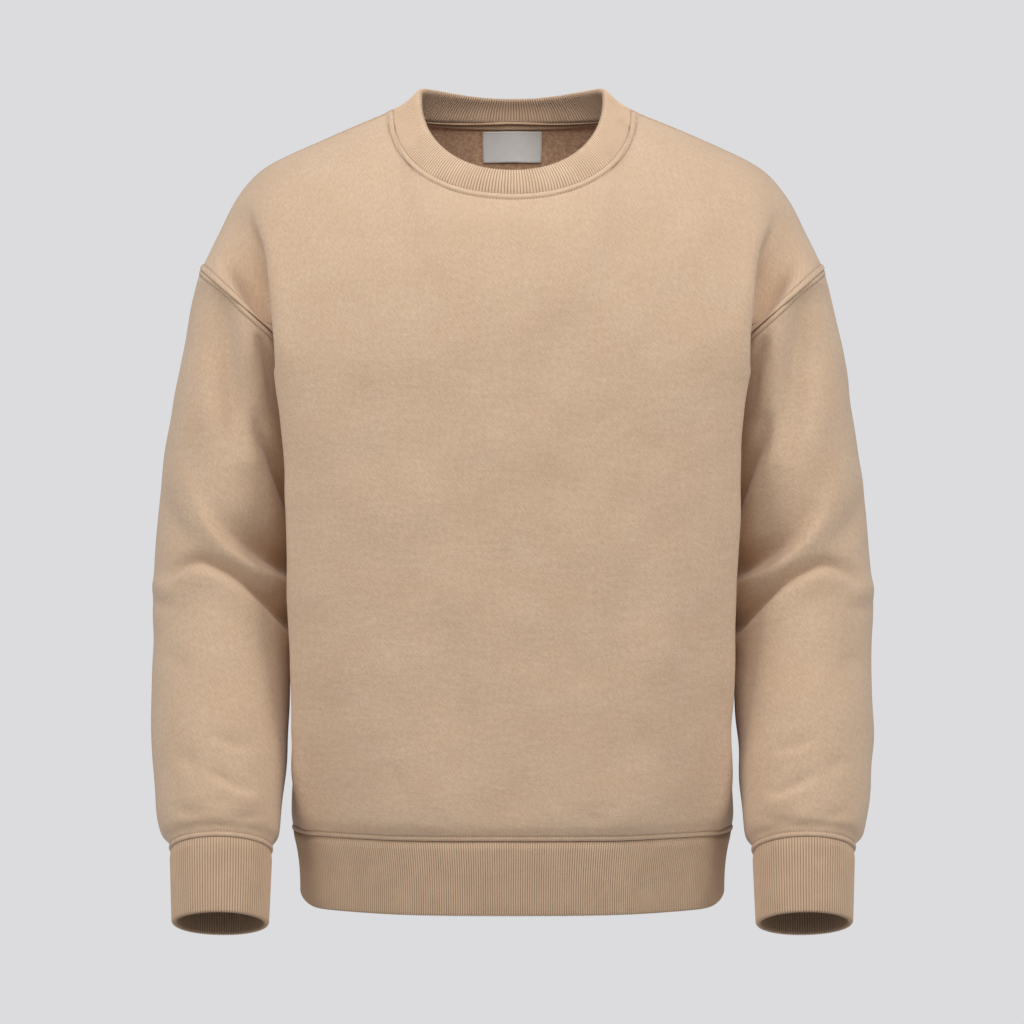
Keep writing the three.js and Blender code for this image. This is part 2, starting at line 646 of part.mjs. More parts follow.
function labelGeometry() {
  const edge = (NECK_STOPS[1] * LABEL_HALF_WIDTH) / insideBack(NECK_STOPS[1], 2, PANEL_WALL).x;
  const clear = PANEL_WALL + TRIM_GAP;
  const tops = [edge, 0, -edge].map((place) => {
    const tapeRise = backRiseAt(place, insideBack(place, 2, PANEL_WALL).z - TAPE_DROP);
    const tapeEnd = insideBack(place, tapeRise, clear + TAPE_WALL).z;
    return insideBack(place, backRiseAt(place, tapeEnd - TRIM_GAP), clear);
  });
  const grid = (depth) =>
    [1, 0].map((share) => tops.map((p) => vec(p.x, p.y - depth + LABEL_LEAN * share, p.z - LABEL_LENGTH * share)));
  return wallGeometry(grid(0), grid(LABEL_WALL), false);
}

const FLEECE = { color: "#cfb398", roughness: 0.95, metalness: 0 };
const RIB_KNIT = { color: "#cdb096", roughness: 0.92, metalness: 0 };
const TAPE_CLOTH = { color: "#c6a88b", roughness: 0.9, metalness: 0 };
const LABEL_SATIN = { color: "#c9c7c4", roughness: 0.45, metalness: 0 };

function piece(name, geometry, look) {
  const mesh = new THREE.Mesh(geometry, new THREE.MeshStandardMaterial(look));
  mesh.name = name;
  return mesh;
}

const body = new THREE.Group();
body.add(piece("front", panelGeometry(true), FLEECE));
body.add(piece("back", panelGeometry(false), FLEECE));
body.add(piece("hem_band", ribbedBand(hemPoint, HEM_RIBS, HEM_INNER, [0, 1], 1), RIB_KNIT));

const neck = new THREE.Group();
neck.add(piece("neckband", ribbedBand(neckPoint, NECK_RIBS, NECK_INNER, [0, 0.5, 1], 1), RIB_KNIT));
neck.add(piece("neck_tape", tapeGeometry(), TAPE_CLOTH));
neck.add(piece("neck_label", labelGeometry(), LABEL_SATIN));

const arms = new THREE.Group();
for (const { name, side } of [{ name: "left", side: 1 }, { name: "right", side: -1 }]) {
  arms.add(piece("sleeve_" + name, sleeveGeometry(side), FLEECE));
  arms.add(piece("cuff_" + name, ribbedBand(cuffPoint, CUFF_RIBS, CUFF_INNER, [0, 1], side), RIB_KNIT));
}

const sweatshirt = new THREE.Group();
sweatshirt.add(body, neck, arms);
export default sweatshirt;
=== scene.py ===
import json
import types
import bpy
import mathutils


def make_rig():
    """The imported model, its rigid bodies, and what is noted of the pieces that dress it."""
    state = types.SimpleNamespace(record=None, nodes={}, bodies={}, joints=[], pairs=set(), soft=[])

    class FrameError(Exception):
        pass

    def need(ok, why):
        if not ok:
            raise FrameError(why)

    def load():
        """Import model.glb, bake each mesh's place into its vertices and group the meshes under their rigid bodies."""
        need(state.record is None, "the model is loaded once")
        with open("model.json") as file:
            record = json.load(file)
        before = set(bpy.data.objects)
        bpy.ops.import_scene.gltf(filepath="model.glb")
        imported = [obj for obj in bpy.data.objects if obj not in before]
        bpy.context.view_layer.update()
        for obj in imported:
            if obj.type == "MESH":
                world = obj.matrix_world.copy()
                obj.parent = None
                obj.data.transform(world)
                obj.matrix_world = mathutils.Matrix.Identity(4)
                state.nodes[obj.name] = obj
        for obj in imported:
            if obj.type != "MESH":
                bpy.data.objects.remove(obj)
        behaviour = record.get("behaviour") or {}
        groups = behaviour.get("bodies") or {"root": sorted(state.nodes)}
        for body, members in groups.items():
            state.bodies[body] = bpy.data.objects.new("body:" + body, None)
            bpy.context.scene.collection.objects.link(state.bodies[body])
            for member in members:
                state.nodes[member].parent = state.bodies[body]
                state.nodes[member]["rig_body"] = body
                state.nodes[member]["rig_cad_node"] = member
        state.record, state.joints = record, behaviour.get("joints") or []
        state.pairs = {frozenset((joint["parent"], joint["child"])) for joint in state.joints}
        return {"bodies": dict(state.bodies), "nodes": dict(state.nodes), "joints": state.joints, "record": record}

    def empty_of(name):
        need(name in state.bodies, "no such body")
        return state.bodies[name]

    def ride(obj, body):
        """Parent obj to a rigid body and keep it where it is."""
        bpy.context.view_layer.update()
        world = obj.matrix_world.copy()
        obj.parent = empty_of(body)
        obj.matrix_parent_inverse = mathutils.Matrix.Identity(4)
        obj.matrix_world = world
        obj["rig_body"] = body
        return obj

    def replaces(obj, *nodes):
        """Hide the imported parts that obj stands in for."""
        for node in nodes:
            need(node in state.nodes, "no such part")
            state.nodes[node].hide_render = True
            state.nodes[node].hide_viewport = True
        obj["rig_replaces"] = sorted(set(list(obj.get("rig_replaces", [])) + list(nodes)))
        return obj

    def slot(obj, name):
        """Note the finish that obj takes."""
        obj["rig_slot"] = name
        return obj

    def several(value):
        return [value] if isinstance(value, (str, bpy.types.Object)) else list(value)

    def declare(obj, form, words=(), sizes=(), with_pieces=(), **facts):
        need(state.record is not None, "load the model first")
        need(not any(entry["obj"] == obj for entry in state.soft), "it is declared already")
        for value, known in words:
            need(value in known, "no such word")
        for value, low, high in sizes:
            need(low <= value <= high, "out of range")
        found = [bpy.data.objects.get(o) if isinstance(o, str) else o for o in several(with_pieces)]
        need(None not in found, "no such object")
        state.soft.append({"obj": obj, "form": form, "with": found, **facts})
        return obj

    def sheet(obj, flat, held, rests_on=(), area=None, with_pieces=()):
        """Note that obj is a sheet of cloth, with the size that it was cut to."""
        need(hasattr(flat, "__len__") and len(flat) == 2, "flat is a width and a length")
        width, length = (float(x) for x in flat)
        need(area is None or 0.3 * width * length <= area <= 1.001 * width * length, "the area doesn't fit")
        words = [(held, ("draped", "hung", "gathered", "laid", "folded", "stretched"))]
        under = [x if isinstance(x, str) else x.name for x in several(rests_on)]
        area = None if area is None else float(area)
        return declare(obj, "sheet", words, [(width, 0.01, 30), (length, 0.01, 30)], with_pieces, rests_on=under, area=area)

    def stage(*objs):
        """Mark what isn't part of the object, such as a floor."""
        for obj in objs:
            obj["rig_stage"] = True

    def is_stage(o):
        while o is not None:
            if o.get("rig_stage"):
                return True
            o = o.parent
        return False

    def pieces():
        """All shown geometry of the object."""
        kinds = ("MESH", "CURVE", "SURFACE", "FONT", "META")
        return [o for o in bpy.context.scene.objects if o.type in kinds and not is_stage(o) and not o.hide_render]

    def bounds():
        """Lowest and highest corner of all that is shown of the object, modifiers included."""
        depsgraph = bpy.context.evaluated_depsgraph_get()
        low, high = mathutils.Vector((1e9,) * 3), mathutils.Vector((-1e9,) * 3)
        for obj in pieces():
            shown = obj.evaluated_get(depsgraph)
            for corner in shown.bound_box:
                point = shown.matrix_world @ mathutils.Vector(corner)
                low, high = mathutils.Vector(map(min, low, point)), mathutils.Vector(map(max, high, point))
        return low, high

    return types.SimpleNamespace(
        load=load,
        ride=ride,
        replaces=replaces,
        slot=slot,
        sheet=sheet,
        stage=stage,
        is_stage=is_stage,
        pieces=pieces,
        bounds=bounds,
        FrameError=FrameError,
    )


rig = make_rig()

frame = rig.load()
CAD_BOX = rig.bounds()

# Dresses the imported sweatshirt: fleece panels with their creases, ribbed bands, trims and every visible stitch.
# Shapes are worked out in millimetres, as in the part's source, and become metres when a mesh is made.
import json
import logging
import math
from dataclasses import dataclass, field
from enum import Enum
from typing import Callable, Optional, Sequence

import bpy
import numpy as np
from mathutils import Vector
from mathutils.kdtree import KDTree

Array = np.ndarray
MM = 0.001
SLIGHT = 1e-3
QUARTER = math.pi / 2
log = logging.getLogger("sweatshirt")


# ---------------------------------------------------------------- numbers and curves


class Table:
    """Rows of numbers under named columns."""

    def __init__(self, names: str, rows: Sequence[Sequence[float]]) -> None:
        """Keeps the rows as columns.

        Args:
            names: the column names, with spaces between them.
            rows: one sequence of numbers for each row.
        """
        self.columns = dict(zip(names.split(), np.array(rows, float).T))

    def __getitem__(self, name: str) -> Array:
        """One column by its name."""
        return self.columns[name]

    def __len__(self) -> int:
        """The number of rows."""
        return len(next(iter(self.columns.values())))


def hermite(t: Array, start: Array, end: Array, start_slope: Array, end_slope: Array) -> Array:
    """A cubic from start to end with a slope at each end.

    Args:
        t: place along the cubic, from 0 to 1.
        start: value at 0.
        end: value at 1.
        start_slope: slope at 0.
        end_slope: slope at 1.

    Returns:
        The value at t.
    """
    t2, t3 = t * t, t * t * t
    return (
        (2 * t3 - 3 * t2 + 1) * start
        + (t3 - 2 * t2 + t) * start_slope
        + (3 * t2 - 2 * t3) * end
        + (t3 - t2) * end_slope
    )


def through(at: Array, knots: Array, values: Array) -> Array:
    """A smooth curve through knots, with slopes from the neighbouring knots.

    Args:
        at: places to read.
        knots: rising places of the values.
        values: the values at the knots.

    Returns:
        The value at each place.
    """
    last = len(knots) - 1
    i = np.searchsorted(knots[1:-1], at, side="left")
    after, before = np.minimum(np.arange(last + 1) + 1, last), np.maximum(np.arange(last + 1) - 1, 0)
    slope = (values[after] - values[before]) / (knots[after] - knots[before])
    span = knots[i + 1] - knots[i]
    return hermite((at - knots[i]) / span, values[i], values[i + 1], slope[i] * span, slope[i + 1] * span)


def ease(t: Array) -> Array:
    """A soft step from 0 to 1 as t goes from 0 to 1."""
    c = np.clip(t, 0.0, 1.0)
    return c * c * (3 - 2 * c)


def unit(vectors: Array) -> Array:
    """The same directions with a length of 1."""
    return vectors / np.maximum(np.linalg.norm(vectors, axis=-1, keepdims=True), 1e-12)


def run_length(points: Array, axis: int) -> Array:
    """Length run along an axis of a grid of points, starting from 0."""
    steps = np.linalg.norm(np.diff(points, axis=axis), axis=-1)
    zero = np.zeros_like(np.take(steps, [0], axis=axis))
    return np.concatenate([zero, np.cumsum(steps, axis=axis)], axis=axis)


def graded(length: float, coarse: float, fine: float, reach: tuple[float, float]) -> Array:
    """Places along a length, closer together near the seams at its ends.

    Args:
        length: the whole length in mm.
        coarse: spacing away from the ends.
        fine: spacing within reach of an end.
        reach: how far the fine spacing goes from the start and from the end.

    Returns:
        Places from 0 to 1.
    """
    places = [0.0]
    while places[-1] < length:
        near = min(places[-1] - reach[0], length - places[-1] - reach[1])
        places.append(places[-1] + fine + (coarse - fine) * float(ease(near / (4 * coarse) + 0.25)))
    return np.array(places) / places[-1]


def outward(surface: Callable[[Array, Array], Array], a: Array, b: Array) -> Array:
    """Outward directions of a surface of two numbers, by small steps along each."""
    along_a = surface(a + SLIGHT, b) - surface(a - SLIGHT, b)
    along_b = surface(a, b + SLIGHT) - surface(a, b - SLIGHT)
    return unit(np.cross(along_a, along_b))


# ---------------------------------------------------------------- the worn form


class Face(Enum):
    """A face of the body, with the sign of its depth."""

    FRONT = -1
    BACK = 1


@dataclass(frozen=True)
class NeckLoop:
    """A closed line round the neck, in mm."""

    half_width: float
    side_z: float
    front_y: float
    front_z: float
    back_y: float
    back_z: float
    edge: Optional[Table] = None


BODY_SECTIONS = Table("height front rollX rollY tuckX side back backRollX backRollY", [
    (-627.5, 112, 161, 66, 183.5, 190.5, 105, 161, 64),
    (-612, 119, 172, 66, 187, 192, 112, 172, 66),
    (-560, 121, 181, 70, 183, 189.5, 111, 181, 70),
    (-430, 125, 186, 80, 181, 185, 110, 187, 76),
    (-300, 128, 191, 84, 181, 180, 117, 191, 80),
    (-232, 127, 198, 85, 184, 180, 120, 197, 82),
])
SHOULDER = Table("x z", [(103, -1.6), (160, -25.5), (215, -52), (239, -77), (256, -110), (271, -141)])
FRONT_LINES = Table("along startOut startFore startUp endOut endFore endUp", [
    (0, 0, 2, 150, 0, -55, 130),
    (0, 0, 5, 230, 0, -155, 105),
    (0.66, 5, 10, 150, 60, -190, 0),
    (0.86, 10, 100, 100, 40, -200, 0),
    (1, 0, 240, 0, 0, -240, 0),
])
BACK_LINES = Table("along startOut startFore startUp endOut endFore endUp", [
    (0, 0, 3, 225, 0, -90, 150),
    (0, 0, 0, 225, 0, -290, 0),
    (0.66, 5, 10, 150, 60, -190, 0),
    (0.86, 10, 100, 100, 40, -200, 0),
    (1, 0, 240, 0, 0, -240, 0),
])
SLEEVE_SECTIONS = Table("outX outZ inX inZ y halfDepth lean", [
    (271, -141, 180, -220, 2.5, 76, 0),
    (283, -190, 187, -250, 3, 75, 0),
    (293, -245, 188, -290, 4, 74, 0),
    (303, -310, 188, -335, 6, 72, 2),
    (310, -370, 190, -378, 7, 71, 7),
    (313, -425, 191, -425, 4, 70, 14),
    (311.5, -480, 192, -478, -9, 67, 20),
    (310.5, -540, 192.5, -537, -31, 61, 22),
    (306, -592, 196, -592, -50, 55, 23),
    (300, -624, 198.5, -624, -62, 50, 23),
    (290.5, -640, 205, -640, -68, 41, 23),
    (286.5, -698, 206, -698, -93, 36, 23),
])
CUFF_TOP = len(SLEEVE_SECTIONS) - 2
NECK_SEAM = NeckLoop(103, -1.6, -98, -83.5, 66, -5)
# Height of the folded edge, from the back centre (reach -1) over the side (0) to the front centre (1)
NECK_EDGE = Table("reach z", [
    (-1, 15.2), (-0.92, 16.6), (-0.8, 18.2), (-0.58, 19.5), (-0.3, 18.8), (0, 13.2), (0.3, -9.6), (0.65, -36.3), (1, -63),
])
NECK_TOP = NeckLoop(81, 18, -92, -63, 62, 15.2, edge=NECK_EDGE)


@dataclass(frozen=True)
class WornForm:
    """The form that the solids have, as smooth surfaces."""

    hem_seam: float = -627.5
    hem_edge: float = -689.5
    underarm: float = -232.0
    side_y: float = 2.5
    mid_width: float = 0.56
    mid_depth: float = 0.93
    tuck_depth: float = 0.53
    neck_round: float = 0.92
    neck_bulge: float = 2.5
    neck_hollow: float = 1.5
    neck_lift: float = -1.8
    neck_flare: float = 0.5
    seam_gap: float = 0.3
    hem_narrowing: float = 0.036
    hem_corner: float = 9.0

    def section_knots(self, height: Array, face: Face) -> Array:
        """Five knots of a level section, from the centre line to the side seam.

        Args:
            height: heights of the sections.
            face: front or back.

        Returns:
            An array of 5 knots by heights by 3.
        """
        def size(name: str) -> Array:
            """One size of the body at the heights."""
            return through(height, BODY_SECTIONS["height"], BODY_SECTIONS[name])

        front = face is Face.FRONT
        depth = size("front" if front else "back")
        roll_x, roll_y = (size("rollX"), size("rollY")) if front else (size("backRollX"), size("backRollY"))
        zero, sign = np.zeros_like(height), face.value
        rows = [
            (zero, sign * depth),
            (self.mid_width * roll_x, sign * self.mid_depth * depth),
            (roll_x, sign * roll_y),
            (size("tuckX"), sign * self.tuck_depth * roll_y),
            (size("side"), zero + self.side_y),
        ]
        return np.array([np.stack([x, y, height], -1) for x, y in rows])

    def section_point(self, height: Array, face: Face, line: Array) -> Array:
        """Points of level sections at a place between the centre line (0) and the side seam (4)."""
        height, line = np.broadcast_arrays(np.asarray(height, float), np.asarray(line, float))
        shape = height.shape
        height, line = height.ravel(), line.ravel()
        own = self.section_knots(height, face)
        other = self.section_knots(height, Face.BACK if face is Face.FRONT else Face.FRONT)
        before = own[1] * np.array([-1.0, 1.0, 1.0])
        knots = np.concatenate([before[None], own, other[3][None]])
        i = np.clip(np.floor(line), 0, 3).astype(int)
        pick = np.arange(len(line))
        p, q, r, s = (knots[i + k, pick] for k in range(4))
        point = hermite((line - i)[:, None], q, r, (r - p) / 2, (s - q) / 2)
        point[:, 2] = height
        return point.reshape(*shape, 3)

    def neck_loop(self, loop: NeckLoop, angle: Array) -> Array:
        """Points of a neck line at an angle from the front centre (0) to the back (pi)."""
        across, along = np.sin(angle), np.cos(angle)
        reach = np.abs(along) ** self.neck_round
        x = loop.half_width * np.sign(across) * np.abs(across) ** self.neck_round
        y = reach * np.where(along > 0, loop.front_y, loop.back_y)
        if loop.edge:
            z = through(np.sign(along) * reach, loop.edge["reach"], loop.edge["z"])
        else:
            z = loop.side_z + reach * (np.where(along > 0, loop.front_z, loop.back_z) - loop.side_z)
        return np.stack([x, y, z], -1)

    def shoulder_point(self, along: Array) -> Array:
        """Points of the shoulder seam from the neck point (0) to the armhole (1)."""
        reach = np.concatenate([[0], np.cumsum(np.hypot(np.diff(SHOULDER["x"]), np.diff(SHOULDER["z"])))])
        at = along * reach[-1]
        return np.stack([through(at, reach, SHOULDER["x"]), self.side_y * along, through(at, reach, SHOULDER["z"])], -1)

    def sleeve_frame(self, step: Array) -> tuple[Array, Array, Array]:
        """Middle, outward half axis and forward half axis of the sleeve sections at the steps."""
        steps = np.arange(len(SLEEVE_SECTIONS), dtype=float)

        def size(name: str) -> Array:
            """One size of the sleeve at the steps."""
            return through(step, steps, SLEEVE_SECTIONS[name])

        out_x, out_z, in_x, in_z = size("outX"), size("outZ"), size("inX"), size("inZ")
        zero, lean, half = np.zeros_like(out_x), np.radians(size("lean")), size("halfDepth")
        middle = np.stack([(out_x + in_x) / 2, size("y"), (out_z + in_z) / 2], -1)
        out = np.stack([(out_x - in_x) / 2, zero, (out_z - in_z) / 2], -1)
        fore = np.stack([zero, -np.cos(lean) * half, np.sin(lean) * half], -1)
        return middle, out, fore

    def sleeve_plain(self, angle: Array, step: Array) -> Array:
        """Points of the +X sleeve: angle 0 is its outer edge, a quarter turn on is its front."""
        angle, step = np.broadcast_arrays(np.asarray(angle, float), np.asarray(step, float))
        middle, out, fore = self.sleeve_frame(step)
        return middle + out * np.cos(angle)[..., None] + fore * np.sin(angle)[..., None]

    def body_plain(self, face: Face, line: Array, rise: Array) -> Array:
        """Points of the body on the +X side.

        Args:
            face: front or back.
            line: 0 centre, 1 neck point, 2 roll, 3 tuck, 4 seam.
            rise: 0 hem seam, 1 underarm level, 2 shoulder seam or neckline.

        Returns:
            The points, in mm.
        """
        line, rise = np.broadcast_arrays(np.asarray(line, float), np.asarray(rise, float))
        lines = FRONT_LINES if face is Face.FRONT else BACK_LINES
        knots = np.arange(5, dtype=float)
        first = {name: SLEEVE_SECTIONS[name][0] for name in ("inX", "inZ", "outX", "outZ")}

        def size(name: str) -> Array:
            """One slope or place of the lengthwise lines."""
            return through(line, knots, lines[name])

        weight = ease(line - 3)
        level = self.underarm + (first["inZ"] - self.underarm) * weight
        low = self.section_point(self.hem_seam + (level - self.hem_seam) * np.minimum(rise, 1), face, line)
        start = self.section_point(level, face, line)
        neck_angle = np.clip(line, 0, 1) * QUARTER
        neck = self.neck_loop(NECK_SEAM, neck_angle if face is Face.FRONT else math.pi - neck_angle)
        shoulder = self.shoulder_point(np.clip(size("along"), 0, 1))
        end = np.where((line < 1)[..., None], neck, shoulder)
        t = np.maximum(rise - 1, 0)
        start_slope = np.stack([size("startOut"), face.value * size("startFore"), size("startUp")], -1)
        end_slope = np.stack([size("endOut"), face.value * size("endFore"), size("endUp")], -1)
        high = hermite(t[..., None], start, end, start_slope, end_slope)
        turn = math.pi * (1 - t)
        seam = self.sleeve_plain(turn if face is Face.FRONT else -turn, np.zeros_like(t))
        zero = np.zeros_like(t)
        unbent = np.stack([
            hermite(t, first["inX"], first["outX"], zero, zero),
            hermite(t, self.side_y, self.side_y, face.value * lines["startFore"][4], face.value * lines["endFore"][4]),
            hermite(t, first["inZ"], first["outZ"], zero, zero),
        ], -1)
        high = high + (seam - unbent) * weight[..., None]
        return np.where((rise <= 1)[..., None], low, high)

    def body_outward(self, face: Face, line: Array, rise: Array) -> Array:
        """Outward directions of the body on the +X side."""
        a, b = np.clip(line, SLIGHT, 4 - SLIGHT), np.clip(rise, SLIGHT, 2 - SLIGHT)
        return outward(lambda p, q: self.body_plain(face, p, q), a, b) * -face.value

    def sleeve_outward(self, angle: Array, step: Array) -> Array:
        """Outward directions of the +X sleeve."""
        return outward(self.sleeve_plain, angle, np.maximum(step, SLIGHT))

    def hem_point(self, turn: Array, height: Array) -> Array:
        """Points of the hem band: turn 0 is the front centre, the quarter turn is the +X side seam."""
        quarter = np.mod(turn, 1) * 4
        side = np.where(quarter < 2, 1.0, -1.0)
        reach = np.where(quarter < 2, quarter, 4 - quarter)
        level = np.full_like(reach, self.hem_seam)
        front = self.section_point(level, Face.FRONT, np.clip(reach, 0, 1) * 4)
        back = self.section_point(level, Face.BACK, np.clip(2 - reach, 0, 1) * 4)
        p = np.where((reach < 1)[..., None], front, back)
        corner = self.hem_corner * (p[..., 0] / BODY_SECTIONS["side"][0]) ** 30
        edge = self.hem_edge + corner
        z = edge + (self.hem_seam - self.seam_gap / 2 - edge) * height
        narrow = 1 - self.hem_narrowing * (1 - np.maximum(height, 0) ** 2.5)
        return np.stack([p[..., 0] * side * narrow, p[..., 1], z], -1)

    def neck_point(self, turn: Array, height: Array) -> Array:
        """Points of the neckband: turn 0 is the front centre, height runs from the seam to the folded top."""
        angle = turn * 2 * math.pi
        low, high = self.neck_loop(NECK_SEAM, angle), self.neck_loop(NECK_TOP, angle)
        lift = self.neck_lift / np.linalg.norm(high - low, axis=-1)
        share = lift + (1 - lift) * height
        away = unit(np.stack([np.sin(angle), -np.cos(angle), np.full_like(angle, self.neck_flare)], -1))
        swell = (self.neck_bulge + self.neck_hollow) * np.abs(np.cos(angle)) ** 1.5 - self.neck_hollow
        bulge = swell * np.sin(math.pi * share)
        return low + (high - low) * share[..., None] + away * bulge[..., None]

    def cuff_point(self, turn: Array, height: Array) -> Array:
        """Points of the +X cuff: turn 0 is its outer edge, height runs from the folded end to the seam."""
        angle = -turn * 2 * math.pi
        top, end = np.full_like(turn, float(CUFF_TOP)), np.full_like(turn, CUFF_TOP + 1.0)
        drop = self.seam_gap / 2 / 58
        share = np.maximum(1 - height, drop)[..., None]
        mixed = [a + (b - a) * share for a, b in zip(self.sleeve_frame(top), self.sleeve_frame(end))]
        return mixed[0] + mixed[1] * np.cos(angle)[..., None] + mixed[2] * np.sin(angle)[..., None]


# ---------------------------------------------------------------- creases and seams


class Folds:
    """Folds of the cloth. Each is a smooth line in the front view, and rises or sinks by its own height.

    Each knot of a fold holds x, z, rise, and the width over which the fold fades on its left and on its right.
    """

    def __init__(self, folds: Sequence[Sequence[Sequence[float]]]) -> None:
        """Lays the folds as finely spaced lines.

        Args:
            folds: for each fold, its knots in mm.
        """
        self.lines = [self.laid(np.array(knots, float)) for knots in folds]

    def laid(self, knots: Array) -> Array:
        """One fold with places about 3 mm apart."""
        reach = np.concatenate([[0], np.cumsum(np.hypot(np.diff(knots[:, 0]), np.diff(knots[:, 1])))])
        at = np.linspace(0, reach[-1], max(8, int(reach[-1] / 3)))
        return np.stack([through(at, reach, knots[:, i]) for i in range(5)], -1)

    def height(self, x: Array, z: Array) -> Array:
        """Height of the cloth over its plain form at places in the front view."""
        total = np.zeros_like(x)
        for line in self.lines:
            reach = 2.6 * line[:, 3:].max()
            near = (x > line[:, 0].min() - reach) & (x < line[:, 0].max() + reach)
            near &= (z > line[:, 1].min() - reach) & (z < line[:, 1].max() + reach)
            places = np.stack([x[near], z[near]], -1)
            start, step = line[:-1], np.diff(line, axis=0)
            off = places[:, None] - start[None, :, :2]
            share = np.clip(np.sum(off * step[:, :2], -1) / np.sum(step[:, :2] ** 2, -1), 0, 1)
            gap = off - share[..., None] * step[:, :2]
            pick = np.argmin(np.sum(gap ** 2, -1), axis=1)
            rows = np.arange(len(pick))
            share, gap = share[rows, pick], gap[rows, pick]
            knot = start[pick] + step[pick] * share[:, None]
            left = step[pick, 0] * gap[:, 1] > step[pick, 1] * gap[:, 0]
            width = np.where(left, knot[:, 3], knot[:, 4])
            total[near] += knot[:, 2] * np.exp(-np.sum(gap ** 2, -1) / width ** 2)
        return total


RIPPLES = Table("kx ky kz phase size", [
    (0.045, 0.02, 0.031, 0.4, 0.50),
    (-0.028, 0.03, 0.052, 1.9, 0.45),
    (0.071, -0.02, -0.043, 3.1, 0.28),
    (0.019, 0.05, 0.094, 4.4, 0.25),
    (-0.096, 0.03, 0.061, 0.9, 0.16),
    (0.13, 0.04, 0.107, 2.6, 0.10),
    (0.058, 0.07, -0.151, 5.2, 0.11),
    (-0.17, 0.02, 0.083, 1.2, 0.07),
])


def unevenness(points: Array) -> Array:
    """Slight waviness of the cloth, the same each run."""
    total = np.zeros(points.shape[:-1])
    for k in range(len(RIPPLES)):
        wave = sum(points[..., i] * RIPPLES[name][k] for i, name in enumerate(("kx", "ky", "kz")))
        total += RIPPLES["size"][k] * np.sin(wave + RIPPLES["phase"][k] + 0.6 * np.sin(0.37 * wave))
    return total


class Seam:
    """A sewn line, for the distance of the cloth from it."""

    def __init__(self, points: Array) -> None:
        """Lays closely spaced places on the line.

        Args:
            points: the line, in mm.
        """
        run = run_length(points, 0)
        at = np.arange(0, run[-1], 0.5)
        self.points = np.stack([np.interp(at, run, points[:, i]) for i in range(3)], -1)
        self.tree = KDTree(len(self.points))
        for i, p in enumerate(self.points):
            self.tree.insert(Vector(p), i)
        self.tree.balance()

    def distance(self, points: Array) -> Array:
        """Distance of each point from the line."""
        flat = points.reshape(-1, 3)
        return np.array([self.tree.find(Vector(p))[2] for p in flat]).reshape(points.shape[:-1])


@dataclass(frozen=True)
class Flange:
    """Seam allowance that lies under the cloth beside a seam and is held by a row of stitches."""

    width: float
    rise: float
    start: float = 0.7
    groove: float = 1.0
    groove_width: float = 1.0
    pull: float = 0.45

    def ridge(self, d: Array) -> Array:
        """Height of the ridge at a distance from the seam."""
        up = ease((d - self.start + 0.7) / 1.1)
        down = 1 - ease((d - self.width + 0.5) / 1.2)
        return self.rise * up * down

    def sunk(self, d: Array) -> Array:
        """Depth of the groove on the seam and of the pull along the stitches."""
        groove = self.groove * np.exp(-(d / self.groove_width) ** 2)
        pull = self.pull * np.exp(-((d - self.width - 0.5) / 0.8) ** 2)
        return groove + pull

    def shade(self, d: Array) -> Array:
        """How strongly painted shade darkens the cloth in the groove and along the stitches."""
        return 0.55 * np.exp(-(d / 0.8) ** 2) + 0.5 * np.exp(-((d - self.width - 0.6) / 0.8) ** 2)


# ---------------------------------------------------------------- meshes


